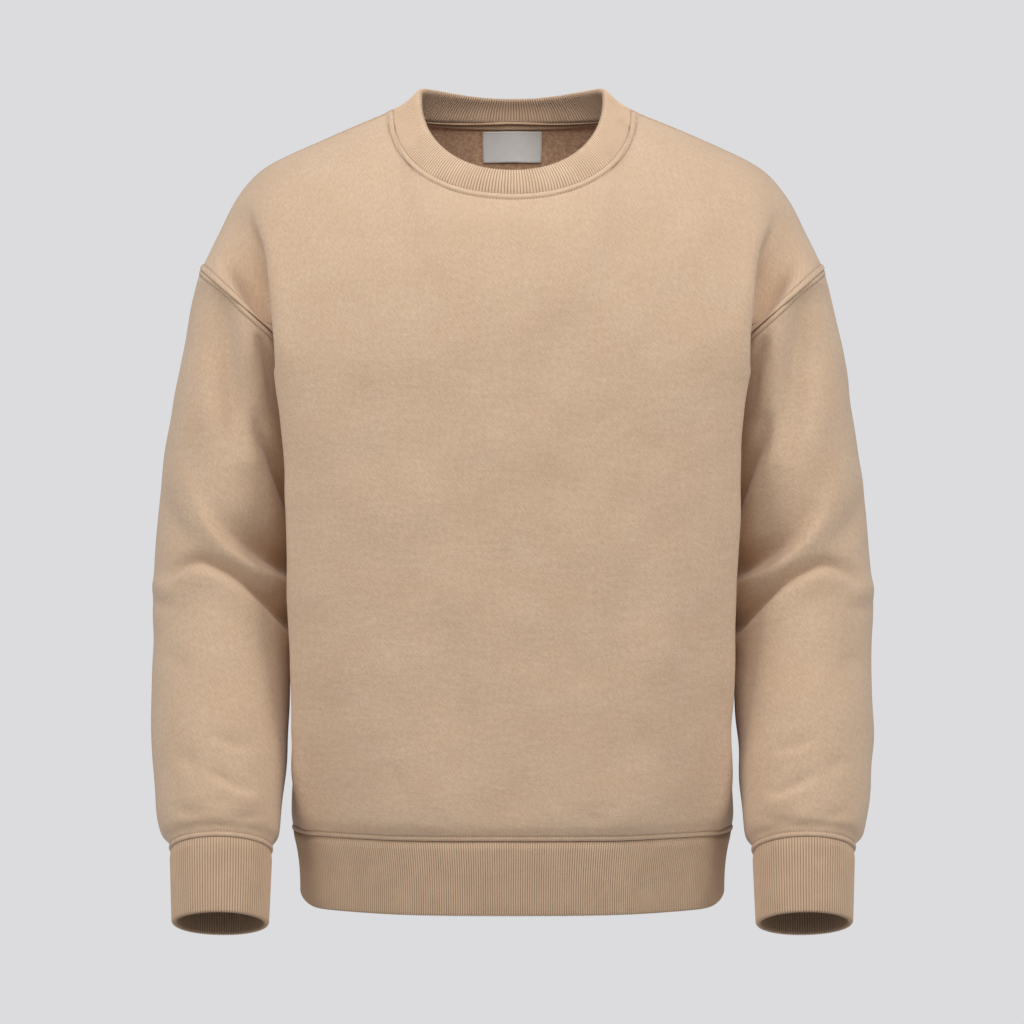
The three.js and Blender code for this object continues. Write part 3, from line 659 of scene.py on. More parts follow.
class MeshDraft:
    """Vertices and quads gathered for one piece."""

    def __init__(self) -> None:
        """Starts empty."""
        self.points: list[Array] = []
        self.values: list[dict[str, Array]] = []
        self.quads: list[Array] = []
        self.uvs: list[Array] = []
        self.slots: list[Array] = []
        self.count = 0

    def add_points(self, points: Array, values: Optional[dict[str, Array]] = None) -> Array:
        """Adds a grid of points with values at them, and returns their numbers."""
        ids = np.arange(self.count, self.count + points[..., 0].size).reshape(points.shape[:-1])
        self.points.append(points.reshape(-1, 3))
        self.values.append({name: value.ravel() for name, value in (values or {}).items()})
        self.count += ids.size
        return ids

    def add_quads(self, a: Array, b: Array, uv_a: Array, uv_b: Array, slot: int, flipped: bool = False) -> None:
        """Adds the quads between two lines of points.

        Args:
            a: numbers of the points of the first line.
            b: numbers of the points of the second line.
            uv_a: places of the first line in the cloth's own map.
            uv_b: places of the second line in the cloth's own map.
            slot: material number.
            flipped: turns the faces round.
        """
        quads = np.stack([a[..., :-1], a[..., 1:], b[..., 1:], b[..., :-1]], -1).reshape(-1, 4)
        uv = np.stack([uv_a[..., :-1, :], uv_a[..., 1:, :], uv_b[..., 1:, :], uv_b[..., :-1, :]], -2).reshape(-1, 4, 2)
        if flipped:
            quads, uv = quads[:, ::-1], uv[:, ::-1]
        self.quads.append(quads)
        self.uvs.append(uv)
        self.slots.append(np.full(len(quads), slot))

    def add_sheet(self, ids: Array, uv: Array, slot: int, flipped: bool = False) -> None:
        """Adds the quads of a grid of numbered points."""
        self.add_quads(ids[:-1], ids[1:], uv[:-1], uv[1:], slot, flipped)

    def finish(self, name: str, materials: Sequence[bpy.types.Material]) -> bpy.types.Object:
        """Makes the mesh and its object at the origin.

        Args:
            name: the piece's name.
            materials: one material for each slot number.

        Returns:
            The object, linked to the scene.
        """
        mesh = bpy.data.meshes.new(name)
        points = np.concatenate(self.points) * MM
        quads, uvs, slots = np.concatenate(self.quads), np.concatenate(self.uvs), np.concatenate(self.slots)
        mirrored = points[quads][..., 0].mean(axis=1) < 0  # the quads' diagonals mirror each other too
        quads[mirrored] = np.roll(quads[mirrored], 1, axis=1)
        uvs[mirrored] = np.roll(uvs[mirrored], 1, axis=1)
        mesh.vertices.add(len(points))
        mesh.vertices.foreach_set("co", points.astype(np.float32).ravel())
        mesh.loops.add(quads.size)
        mesh.loops.foreach_set("vertex_index", quads.astype(np.int32).ravel())
        mesh.polygons.add(len(quads))
        mesh.polygons.foreach_set("loop_start", np.arange(0, quads.size, 4, dtype=np.int32))
        mesh.polygons.foreach_set("material_index", slots.astype(np.int32))
        mesh.uv_layers.new(name="cloth").uv.foreach_set("vector", (uvs * MM).astype(np.float32).ravel())
        names = sorted({key for value in self.values for key in value})
        for key in names:
            parts = [v.get(key, np.zeros(len(p))) for v, p in zip(self.values, self.points)]
            layer = mesh.attributes.new(key, "FLOAT", "POINT")
            layer.data.foreach_set("value", np.concatenate(parts).astype(np.float32))
        mesh.update(calc_edges=True)
        mesh.shade_smooth()
        for material in materials:
            mesh.materials.append(material)
        made = bpy.data.objects.new(name, mesh)
        bpy.context.scene.collection.objects.link(made)
        return made


def wrap(grid: Array, ring: bool) -> Array:
    """Repeats the first column after the last where the columns close on themselves."""
    return np.concatenate([grid, grid[:, :1]], axis=1) if ring else grid


def wall(outer: Array, inner: Array, values: dict[str, Array], ring: bool, slots: tuple[int, int] = (0, 1)) -> MeshDraft:
    """A closed thin wall between an outer and an inner grid of points.

    Args:
        outer: outer points, rows from low to high and columns so that the faces point out.
        inner: inner points of the same grid.
        values: values kept at the outer points.
        ring: the columns close on themselves.
        slots: material numbers of the outer and the inner face.

    Returns:
        The draft of the mesh.
    """
    draft = MeshDraft()
    ids_out, ids_in = (wrap(draft.add_points(p, v), ring) for p, v in ((outer, values), (inner, {})))
    closed = wrap(outer, ring)
    across, up = run_length(closed, 1), run_length(closed, 0)
    middle = across[:, [across.shape[1] // 2]]
    uv = np.stack([across - middle, up], -1)
    draft.add_sheet(ids_out, uv, slots[0])
    draft.add_sheet(ids_in, uv, slots[1], flipped=True)
    draft.add_quads(ids_in[0], ids_out[0], uv[0], uv[0], slots[0], flipped=False)
    draft.add_quads(ids_out[-1], ids_in[-1], uv[-1], uv[-1], slots[0], flipped=False)
    if not ring:
        draft.add_quads(ids_out[:, 0], ids_in[:, 0], uv[:, 0], uv[:, 0], slots[0], flipped=False)
        draft.add_quads(ids_in[:, -1], ids_out[:, -1], uv[:, -1], uv[:, -1], slots[0], flipped=False)
    return draft


@dataclass(frozen=True)
class StitchPath:
    """A line of stitches on the cloth, with the outward direction at its points."""

    points: Array
    lay: Array
    closed: bool = False


def offset_path(points: Array, normals: Array, distance: Array, wanted: float, lift: float) -> StitchPath:
    """The line on a grid of cloth at a wanted distance from a seam.

    Args:
        points: the grid, with the seam at the end of the last axis of points.
        normals: outward directions.
        distance: distance of each point from the seam.
        wanted: distance of the stitches from the seam.
        lift: how far the thread stands off the cloth.

    Returns:
        The stitch path along the first axis.
    """
    found, lay = [], []
    for p, n, d in zip(points, normals, distance):
        near = d[::-1][:40]
        if near[0] > wanted:
            continue
        order = np.maximum.accumulate(near)
        at = [np.interp(wanted, order, p[::-1][:40, i]) for i in range(3)]
        face = unit(np.array([np.interp(wanted, order, n[::-1][:40, i]) for i in range(3)]))
        found.append(np.array(at) + face * lift)
        lay.append(face)
    return StitchPath(np.array(found), np.array(lay))


# ---------------------------------------------------------------- node trees


def add_node(tree: bpy.types.NodeTree, kind: str, settings: Optional[dict] = None, **inputs: object) -> bpy.types.Node:
    """Adds a node with its settings, and links or fills its inputs.

    Args:
        tree: the node tree.
        kind: the node's type.
        settings: properties of the node.
        inputs: sockets or values by the input's name with spaces as _, or by its number as _0, _1 and so on.

    Returns:
        The node.
    """
    node = tree.nodes.new(kind)
    for key, value in (settings or {}).items():
        setattr(node, key, value)
    for key, value in inputs.items():
        socket = node.inputs[int(key[1:]) if key[1:].isdigit() else key.replace("_", " ")]
        if isinstance(value, bpy.types.NodeSocket):
            tree.links.new(value, socket)
        else:
            socket.default_value = value
    return node


def new_geometry_tree(name: str, inputs: dict[str, str]) -> tuple[bpy.types.NodeTree, dict[str, str]]:
    """A geometry tree with named inputs.

    Args:
        name: the tree's name.
        inputs: socket type by input name.

    Returns:
        The tree, and the identifier of each input by its name.
    """
    tree = bpy.data.node_groups.new(name, "GeometryNodeTree")
    tree.interface.new_socket(name="Geometry", in_out="INPUT", socket_type="NodeSocketGeometry")
    tree.interface.new_socket(name="Geometry", in_out="OUTPUT", socket_type="NodeSocketGeometry")
    ids = {
        key: tree.interface.new_socket(name=key, in_out="INPUT", socket_type=kind).identifier
        for key, kind in inputs.items()
    }
    return tree, ids


def bake_tree(piece: bpy.types.Object, tree: bpy.types.NodeTree, ids: dict[str, str], values: dict[str, object]) -> None:
    """Runs a geometry tree on a piece and keeps its result as the piece's plain mesh.

    Args:
        piece: the object that the tree works on.
        tree: the geometry tree.
        ids: identifier of each input by its name.
        values: value of each input by its name.
    """
    modifier = piece.modifiers.new(tree.name, "NODES")
    modifier.node_group = tree
    for key, value in values.items():
        modifier[ids[key]] = value
    graph = bpy.context.evaluated_depsgraph_get()
    made = bpy.data.meshes.new_from_object(piece.evaluated_get(graph), depsgraph=graph)
    piece.modifiers.remove(modifier)
    old = piece.data
    piece.data = made
    made.name = piece.name
    bpy.data.meshes.remove(old)


class RibTree:
    """Geometry Nodes that knit ribs into a plain band, along its own outward direction."""

    def __init__(self) -> None:
        """Builds the tree once for all bands."""
        kinds = {"Rib Count": "Float", "Rise": "Float", "Roundness": "Float", "Wander": "Float", "Cloth": "Material"}
        self.tree, self.ids = new_geometry_tree("knit_ribs", {k: "NodeSocket" + v for k, v in kinds.items()})
        t = self.tree
        source = add_node(t, "NodeGroupInput")
        turn = add_node(t, "GeometryNodeInputNamedAttribute", {"data_type": "FLOAT"}, Name="turn")
        weight = add_node(t, "GeometryNodeInputNamedAttribute", {"data_type": "FLOAT"}, Name="rib_weight")
        noise = add_node(t, "ShaderNodeTexNoise", {"noise_dimensions": "3D"}, Scale=38.0, Detail=1.0)
        centred = add_node(t, "ShaderNodeMath", {"operation": "SUBTRACT"}, _0=noise.outputs[0], _1=0.5)
        wander = add_node(t, "ShaderNodeMath", {"operation": "MULTIPLY"}, _0=centred.outputs[0], _1=source.outputs["Wander"])
        phase = add_node(t, "ShaderNodeMath", {"operation": "MULTIPLY_ADD"},
                         _0=turn.outputs[0], _1=source.outputs["Rib Count"], _2=wander.outputs[0])
        angle = add_node(t, "ShaderNodeMath", {"operation": "MULTIPLY"}, _0=phase.outputs[0], _1=math.pi)
        wave = add_node(t, "ShaderNodeMath", {"operation": "COSINE"}, _0=angle.outputs[0])
        size = add_node(t, "ShaderNodeMath", {"operation": "ABSOLUTE"}, _0=wave.outputs[0])
        wale = add_node(t, "ShaderNodeMath", {"operation": "POWER"}, _0=size.outputs[0], _1=source.outputs["Roundness"])
        faded = add_node(t, "ShaderNodeMath", {"operation": "MULTIPLY"}, _0=wale.outputs[0], _1=weight.outputs[0])
        rise = add_node(t, "ShaderNodeMath", {"operation": "MULTIPLY"}, _0=faded.outputs[0], _1=source.outputs["Rise"])
        normal = add_node(t, "GeometryNodeInputNormal")
        offset = add_node(t, "ShaderNodeVectorMath", {"operation": "SCALE"}, _0=normal.outputs[0], Scale=rise.outputs[0])
        moved = add_node(t, "GeometryNodeSetPosition", Geometry=source.outputs["Geometry"], Offset=offset.outputs[0])
        # The valleys between the wales are marked so that the rib material paints shade into them.
        hollow = add_node(t, "ShaderNodeMath", {"operation": "SUBTRACT"}, _0=1.0, _1=wale.outputs[0])
        marked = add_node(t, "GeometryNodeStoreNamedAttribute", {"data_type": "FLOAT", "domain": "POINT"},
                          Geometry=moved.outputs[0], Name="hollow", Value=hollow.outputs[0])
        real = add_node(t, "GeometryNodeRealizeInstances", Geometry=marked.outputs[0])
        dressed = add_node(t, "GeometryNodeSetMaterial", Geometry=real.outputs[0], Material=source.outputs["Cloth"])
        add_node(t, "NodeGroupOutput", Geometry=dressed.outputs[0])


class StitchTree:
    """Geometry Nodes that lay short raised threads along sewn lines, and dark painted-shade ellipsoids for the needle
    holes between them.
    """

    def __init__(self) -> None:
        """Builds the tree once for all rows of stitches."""
        kinds = {"Pitch": "Float", "Length": "Float", "Width": "Float", "Height": "Float", "Hole": "Float", "Seed": "Int",
                 "Thread": "Material"}
        self.tree, self.ids = new_geometry_tree("sew_stitches", {k: "NodeSocket" + v for k, v in kinds.items()})
        t = self.tree
        source = add_node(t, "NodeGroupInput")
        line = add_node(t, "GeometryNodeMeshToCurve", Mesh=source.outputs["Geometry"])
        even = add_node(t, "GeometryNodeResampleCurve", {"mode": "LENGTH"},
                        Curve=line.outputs[0], Length=source.outputs["Pitch"])
        tangent = add_node(t, "GeometryNodeInputTangent")
        lay = add_node(t, "GeometryNodeInputNamedAttribute", {"data_type": "FLOAT_VECTOR"}, Name="lay")
        along = add_node(t, "FunctionNodeAlignRotationToVector", {"axis": "X"}, Vector=tangent.outputs[0])
        flat = add_node(t, "FunctionNodeAlignRotationToVector", {"axis": "Z", "pivot_axis": "X"},
                        Rotation=along.outputs[0], Vector=lay.outputs[0])
        vary = add_node(t, "FunctionNodeRandomValue", {"data_type": "FLOAT"}, Seed=source.outputs["Seed"])
        vary.inputs[2].default_value, vary.inputs[3].default_value = 0.88, 1.08
        length = add_node(t, "ShaderNodeMath", {"operation": "MULTIPLY"}, _0=source.outputs["Length"], _1=vary.outputs[1])
        size = add_node(t, "ShaderNodeCombineXYZ", X=length.outputs[0], Y=source.outputs["Width"], Z=source.outputs["Height"])
        thread = add_node(t, "GeometryNodeMeshUVSphere", Segments=6, Rings=4, Radius=0.5)
        sewn = add_node(t, "GeometryNodeInstanceOnPoints", Points=even.outputs[0], Instance=thread.outputs[0],
                        Rotation=flat.outputs[0], Scale=size.outputs[0])
        # Dark ellipsoids between the stitches are painted shade for the needle holes.
        half = add_node(t, "ShaderNodeMath", {"operation": "MULTIPLY"}, _0=source.outputs["Pitch"], _1=0.5)
        aside = add_node(t, "ShaderNodeVectorMath", {"operation": "SCALE"}, _0=tangent.outputs[0], Scale=half.outputs[0])
        between = add_node(t, "GeometryNodeSetPosition", Geometry=even.outputs[0], Offset=aside.outputs[0])
        pinch = add_node(t, "GeometryNodeStoreNamedAttribute", {"data_type": "FLOAT", "domain": "POINT"},
                         Geometry=thread.outputs[0], Name="pinch", Value=1.0)
        hole_size = add_node(t, "ShaderNodeCombineXYZ", X=source.outputs["Hole"], Y=source.outputs["Width"],
                             Z=source.outputs["Height"])
        holes = add_node(t, "GeometryNodeInstanceOnPoints", Points=between.outputs[0], Instance=pinch.outputs[0],
                         Rotation=flat.outputs[0], Scale=hole_size.outputs[0])
        both = add_node(t, "GeometryNodeJoinGeometry")
        for made in (sewn, holes):
            t.links.new(made.outputs[0], both.inputs[0])
        real = add_node(t, "GeometryNodeRealizeInstances", Geometry=both.outputs[0])
        smooth = add_node(t, "GeometryNodeSetShadeSmooth", Geometry=real.outputs[0])
        dressed = add_node(t, "GeometryNodeSetMaterial", Geometry=smooth.outputs[0], Material=source.outputs["Thread"])
        add_node(t, "NodeGroupOutput", Geometry=dressed.outputs[0])


# ---------------------------------------------------------------- finishes


def from_hex(code: str) -> tuple[float, float, float, float]:
    """An sRGB hex colour as linear numbers."""
    parts = [int(code[i:i + 2], 16) / 255 for i in (1, 3, 5)]
    linear = [c / 12.92 if c <= 0.04045 else ((c + 0.055) / 1.055) ** 2.4 for c in parts]
    return (*linear, 1.0)


def bands(pitch_mm: float) -> float:
    """Scale of a wave texture whose bands lie a pitch apart, on coordinates in metres."""
    return math.pi / (10 * pitch_mm * MM)


class Finish:
    """A material under construction, with its output joined to a Principled shader."""

    def __init__(self, name: str, roughness: float, sheen: float, sheen_roughness: float, ior: float = 1.5) -> None:
        """Makes the material.

        Args:
            name: the material's name.
            roughness: roughness all over.
            sheen: weight of the fuzz's sheen.
            sheen_roughness: roughness of the sheen.
            ior: index of refraction of the fibre.
        """
        self.material = bpy.data.materials.new(name)
        self.material.use_nodes = True
        self.tree = self.material.node_tree
        self.tree.nodes.clear()
        self.shader = self.add("ShaderNodeBsdfPrincipled", Roughness=roughness, IOR=ior)
        self.shader.inputs["Sheen Weight"].default_value = sheen
        self.shader.inputs["Sheen Roughness"].default_value = sheen_roughness
        self.add("ShaderNodeOutputMaterial", Surface=self.shader.outputs[0])

    def add(self, kind: str, settings: Optional[dict] = None, **inputs: object) -> bpy.types.Node:
        """Adds a node to the material."""
        return add_node(self.tree, kind, settings, **inputs)

    def link(self, source: bpy.types.NodeSocket, name: str) -> None:
        """Links a socket to an input of the shader."""
        self.tree.links.new(source, self.shader.inputs[name])


@dataclass(frozen=True)
class FleeceFace:
    """Smooth jersey face of brushed-back cotton fleece: matt, with fine knitted diagonals, faint crinkle and painted
    shade in the seam grooves and along the stitches.
    """

    light: str = "#d3b79b"
    dark: str = "#cdae91"
    thread_dark: str = "#b79879"
    hollow: str = "#80614a"
    wale_mm: float = 1.35
    stitch_length: float = 4.5
    crinkle_mm: float = 11.0

    def build(self) -> bpy.types.Material:
        """Builds the material."""
        f = Finish("fleece_jersey_face", roughness=0.92, sheen=0.25, sheen_roughness=0.6)
        place = f.add("ShaderNodeUVMap", {"uv_map": "cloth"}).outputs[0]
        solid = f.add("ShaderNodeTexCoord").outputs["Object"]
        mottle = f.add("ShaderNodeTexNoise", Vector=solid, Scale=22.0, Detail=5.0, Roughness=0.7)
        tone = f.add("ShaderNodeMapRange", Value=mottle.outputs[0], _1=0.3, _2=0.7)
        base = f.add("ShaderNodeMix", {"data_type": "RGBA"}, Factor=tone.outputs[0])
        base.inputs[6].default_value, base.inputs[7].default_value = from_hex(self.dark), from_hex(self.light)
        knit = [
            f.add("ShaderNodeTexNoise", Scale=1.0, Detail=1.0, Vector=f.add(
                "ShaderNodeMapping", {"vector_type": "TEXTURE"}, Vector=place, Rotation=(0, 0, math.radians(turn)),
                Scale=(self.wale_mm * MM, self.wale_mm * self.stitch_length * MM, 1.0)).outputs[0]).outputs[0]
            for turn in (36, -40)
        ]
        crossed = f.add("ShaderNodeMath", {"operation": "MULTIPLY_ADD"}, _0=knit[0], _1=0.6)
        f.tree.links.new(f.add("ShaderNodeMath", {"operation": "MULTIPLY"}, _0=knit[1], _1=0.4).outputs[0], crossed.inputs[2])
        gap = f.add("ShaderNodeMapRange", Value=crossed.outputs[0], _1=0.62, _2=0.38, _3=0.0, _4=0.45)
        threads = f.add("ShaderNodeMix", {"data_type": "RGBA"}, Factor=gap.outputs[0], _6=base.outputs[2])
        threads.inputs[7].default_value = from_hex(self.thread_dark)
        # Painted shade: the cloth colour darkens towards a dark brown in the seam grooves and along the stitch lines.
        shade = f.add("ShaderNodeAttribute", {"attribute_name": "shade"})
        sunk = f.add("ShaderNodeMath", {"operation": "MULTIPLY", "use_clamp": True}, _0=shade.outputs["Fac"], _1=0.6)
        colour = f.add("ShaderNodeMix", {"data_type": "RGBA"}, Factor=sunk.outputs[0], _6=threads.outputs[2])
        colour.inputs[7].default_value = from_hex(self.hollow)
        f.link(colour.outputs[2], "Base Color")
        stretched = f.add("ShaderNodeMapping", Vector=place, Scale=(0.7, 2.2, 1.0))
        crinkle = f.add("ShaderNodeTexNoise", Vector=stretched.outputs[0], Scale=1000 / self.crinkle_mm, Detail=6.0, Roughness=0.62)
        fuzz = f.add("ShaderNodeTexNoise", Vector=solid, Scale=900.0, Detail=2.0)
        low = f.add("ShaderNodeBump", Height=crinkle.outputs[0], Strength=0.5, Distance=0.0013)
        mid = f.add("ShaderNodeBump", Height=crossed.outputs[0], Strength=0.5, Distance=0.00035, Normal=low.outputs[0])
        top = f.add("ShaderNodeBump", Height=fuzz.outputs[0], Strength=0.3, Distance=0.0003, Normal=mid.outputs[0])
        f.link(top.outputs[0], "Normal")
        return f.material


@dataclass(frozen=True)
class BrushedFleece:
    """Brushed back of the fleece: raised, felted fibres that break the light into soft clumps."""

    light: str = "#e6bb91"
    dark: str = "#bb9070"

    def build(self) -> bpy.types.Material:
        """Builds the material."""
        f = Finish("fleece_brushed_back", roughness=1.0, sheen=0.3, sheen_roughness=0.7)
        solid = f.add("ShaderNodeTexCoord").outputs["Object"]
        clumps = f.add("ShaderNodeTexNoise", Vector=solid, Scale=330.0, Detail=4.0, Roughness=0.6)
        tone = f.add("ShaderNodeMapRange", Value=clumps.outputs[0], _1=0.35, _2=0.65)
        colour = f.add("ShaderNodeMix", {"data_type": "RGBA"}, Factor=tone.outputs[0])
        colour.inputs[6].default_value, colour.inputs[7].default_value = from_hex(self.dark), from_hex(self.light)
        f.link(colour.outputs[2], "Base Color")
        bump = f.add("ShaderNodeBump", Height=clumps.outputs[0], Strength=0.7, Distance=0.0009)
        f.link(bump.outputs[0], "Normal")
        return f.material


@dataclass(frozen=True)
class RibKnit:
    """Cotton rib knit: the wales catch the light; the valleys between them get painted shade, finely dotted, and the
    folded inner layer gets painted shade too.
    """

    name: str = "cotton_rib_knit"
    light: str = "#cfb194"
    dark: str = "#c8aa8d"
    hollow: str = "#6d4e35"
    course_mm: float = 1.6
    inner_shade: float = 0.36

    def build(self) -> bpy.types.Material:
        """Builds the material."""
        f = Finish(self.name, roughness=0.9, sheen=0.15, sheen_roughness=0.6)
        solid = f.add("ShaderNodeTexCoord").outputs["Object"]
        place = f.add("ShaderNodeUVMap", {"uv_map": "cloth"}).outputs[0]
        mottle = f.add("ShaderNodeTexNoise", Vector=solid, Scale=60.0, Detail=3.0)
        tone = f.add("ShaderNodeMapRange", Value=mottle.outputs[0], _1=0.3, _2=0.7)
        base = f.add("ShaderNodeMix", {"data_type": "RGBA"}, Factor=tone.outputs[0])
        base.inputs[6].default_value, base.inputs[7].default_value = from_hex(self.dark), from_hex(self.light)
        hollow = f.add("ShaderNodeAttribute", {"attribute_name": "hollow"})
        deep = f.add("ShaderNodeMath", {"operation": "POWER", "use_clamp": True}, _0=hollow.outputs["Fac"], _1=1.3)
        courses = f.add("ShaderNodeTexWave", {"wave_type": "BANDS", "bands_direction": "Y", "wave_profile": "SIN"},
                        Vector=place, Scale=bands(self.course_mm), Distortion=0.6)
        dotted = f.add("ShaderNodeMath", {"operation": "MULTIPLY_ADD"}, _0=courses.outputs[1], _1=0.35, _2=0.65)
        amount = f.add("ShaderNodeMath", {"operation": "MULTIPLY", "use_clamp": True}, _0=deep.outputs[0], _1=dotted.outputs[0])
        colour = f.add("ShaderNodeMix", {"data_type": "RGBA"}, Factor=amount.outputs[0], _6=base.outputs[2])
        colour.inputs[7].default_value = from_hex(self.hollow)
        # Painted shade: the folded inner layer darkens towards the dark brown colour.
        inner = f.add("ShaderNodeAttribute", {"attribute_name": "inner"})
        shaded = f.add("ShaderNodeMath", {"operation": "MULTIPLY"}, _0=inner.outputs["Fac"], _1=self.inner_shade)
        layered = f.add("ShaderNodeMix", {"data_type": "RGBA"}, Factor=shaded.outputs[0], _6=colour.outputs[2])
        layered.inputs[7].default_value = from_hex(self.hollow)
        f.link(layered.outputs[2], "Base Color")
        fuzz = f.add("ShaderNodeTexNoise", Vector=solid, Scale=1100.0, Detail=2.0)
        low = f.add("ShaderNodeBump", Height=courses.outputs[1], Strength=0.4, Distance=0.0002)
        top = f.add("ShaderNodeBump", Height=fuzz.outputs[0], Strength=0.3, Distance=0.0003, Normal=low.outputs[0])
        f.link(top.outputs[0], "Normal")
        return f.material


@dataclass(frozen=True)
class TwillTape:
    """Narrow cotton twill tape, woven with steep diagonals about 1 mm apart, drawn at 1.4 mm so that they show."""

    light: str = "#cdae90"
    dark: str = "#b99878"
    twill_mm: float = 1.4

    def build(self) -> bpy.types.Material:
        """Builds the material."""
        f = Finish("cotton_twill_tape", roughness=0.85, sheen=0.1, sheen_roughness=0.5)
        place = f.add("ShaderNodeUVMap", {"uv_map": "cloth"}).outputs[0]
        turned = f.add("ShaderNodeMapping", Vector=place, Rotation=(0, 0, math.radians(-55)))
        twill = f.add("ShaderNodeTexWave", {"wave_type": "BANDS", "bands_direction": "X"}, Vector=turned.outputs[0],
                      Scale=bands(self.twill_mm), Distortion=0.4)
        colour = f.add("ShaderNodeMix", {"data_type": "RGBA"}, Factor=twill.outputs[1])
        colour.inputs[6].default_value, colour.inputs[7].default_value = from_hex(self.dark), from_hex(self.light)
        f.link(colour.outputs[2], "Base Color")
        bump = f.add("ShaderNodeBump", Height=twill.outputs[1], Strength=0.5, Distance=0.0002)
        f.link(bump.outputs[0], "Normal")
        return f.material


@dataclass(frozen=True)
class LabelSatin:
    """Damask label woven in polyester satin: pale grey, with a soft gloss along its fine level threads."""

    light: str = "#fcfbf8"
    dark: str = "#efeeea"
    thread_mm: float = 0.9

    def build(self) -> bpy.types.Material:
        """Builds the material."""
        f = Finish("polyester_label_satin", roughness=0.48, sheen=0.1, sheen_roughness=0.4, ior=1.53)
        place = f.add("ShaderNodeUVMap", {"uv_map": "cloth"}).outputs[0]
        threads = f.add("ShaderNodeTexWave", {"wave_type": "BANDS", "bands_direction": "Y"}, Vector=place,
                        Scale=bands(self.thread_mm), Distortion=0.5, Detail=1.0)
        slub = f.add("ShaderNodeTexNoise", Vector=place, Scale=160.0, Detail=3.0)
        mixed = f.add("ShaderNodeMath", {"operation": "MULTIPLY_ADD"}, _0=threads.outputs[1], _1=0.3, _2=slub.outputs[0])
        colour = f.add("ShaderNodeMix", {"data_type": "RGBA"}, Factor=mixed.outputs[0])
        colour.inputs[6].default_value, colour.inputs[7].default_value = from_hex(self.dark), from_hex(self.light)
        f.link(colour.outputs[2], "Base Color")
        bump = f.add("ShaderNodeBump", Height=threads.outputs[1], Strength=0.35, Distance=0.00012)
        f.link(bump.outputs[0], "Normal")
        return f.material


@dataclass(frozen=True)
class SewingThread:
    """Spun polyester sewing thread: a tight twist that shines a little more than the cloth under it, with a dark
    painted-shade colour for the needle holes.
    """

    name: str = "spun_polyester_thread"
    light: str = "#dcc2a6"
    dark: str = "#bd9c7d"
    hole: str = "#6a4c36"
    twist_mm: float = 0.5

    def build(self) -> bpy.types.Material:
        """Builds the material."""
        f = Finish(self.name, roughness=0.6, sheen=0.1, sheen_roughness=0.5, ior=1.54)
        solid = f.add("ShaderNodeTexCoord").outputs["Object"]
        twist = f.add("ShaderNodeTexWave", {"wave_type": "BANDS", "bands_direction": "DIAGONAL"}, Vector=solid,
                      Scale=bands(self.twist_mm))
        colour = f.add("ShaderNodeMix", {"data_type": "RGBA"}, Factor=twist.outputs[1])
        colour.inputs[6].default_value, colour.inputs[7].default_value = from_hex(self.dark), from_hex(self.light)
        # Painted shade: where the needle-hole mark is set, the thread colour turns dark brown.
        pinch = f.add("ShaderNodeAttribute", {"attribute_name": "pinch"})
        sunk = f.add("ShaderNodeMix", {"data_type": "RGBA"}, Factor=pinch.outputs["Fac"], _6=colour.outputs[2])
        sunk.inputs[7].default_value = from_hex(self.hole)
        f.link(sunk.outputs[2], "Base Color")
        bump = f.add("ShaderNodeBump", Height=twist.outputs[1], Strength=0.4, Distance=0.0001)
        f.link(bump.outputs[0], "Normal")
        return f.material


@dataclass(frozen=True)
class PaintedFloor:
    """Pale matt studio floor: painted board with a barely visible roller grain."""

    light: str = "#dededf"
    dark: str = "#d6d6d8"

    def build(self) -> bpy.types.Material:
        """Builds the material."""
        f = Finish("painted_studio_floor", roughness=0.8, sheen=0.0, sheen_roughness=0.5)
        solid = f.add("ShaderNodeTexCoord").outputs["Object"]
        grain = f.add("ShaderNodeTexNoise", Vector=solid, Scale=40.0, Detail=3.0)
        colour = f.add("ShaderNodeMix", {"data_type": "RGBA"}, Factor=grain.outputs[0])
        colour.inputs[6].default_value, colour.inputs[7].default_value = from_hex(self.dark), from_hex(self.light)
        f.link(colour.outputs[2], "Base Color")
        return f.material


@dataclass
class Wardrobe:
    """All finishes, built once."""

    fleece: bpy.types.Material = field(default_factory=lambda: FleeceFace().build())
    inside: bpy.types.Material = field(default_factory=lambda: BrushedFleece().build())
    rib: bpy.types.Material = field(default_factory=lambda: RibKnit().build())
    # A lighter copy of the rib knit for the neckband, painted light; its valleys and inner layer get darker painted
    # shade.
    neck_rib: bpy.types.Material = field(
        default_factory=lambda: RibKnit("cotton_rib_knit_folded", "#dec0a3", "#d5b799", "#6a4a33", inner_shade=0.5).build()
    )
    tape: bpy.types.Material = field(default_factory=lambda: TwillTape().build())
    label: bpy.types.Material = field(default_factory=lambda: LabelSatin().build())
    thread: bpy.types.Material = field(default_factory=lambda: SewingThread().build())
    # Its last colour is painted shade for the needle holes in the label.
    label_thread: bpy.types.Material = field(
        default_factory=lambda: SewingThread("spun_label_thread", "#dedbd5", "#c3bfb8", "#8d8a84").build()
    )
    ribs: RibTree = field(default_factory=RibTree)
    stitches: StitchTree = field(default_factory=StitchTree)


def own(piece: bpy.types.Object, node: Optional[str], slot: str) -> bpy.types.Object:
    """Puts a piece on the body, in place of a node, and names the slot that its finish comes from."""
    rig.ride(piece, "root")
    if node:
        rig.replaces(piece, node)
    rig.slot(piece, slot)
    triangles = sum(len(p.vertices) - 2 for p in piece.data.polygons)
    log.info("%s: %d triangles", piece.name, triangles)
    return piece


# ---------------------------------------------------------------- panels and sleeves

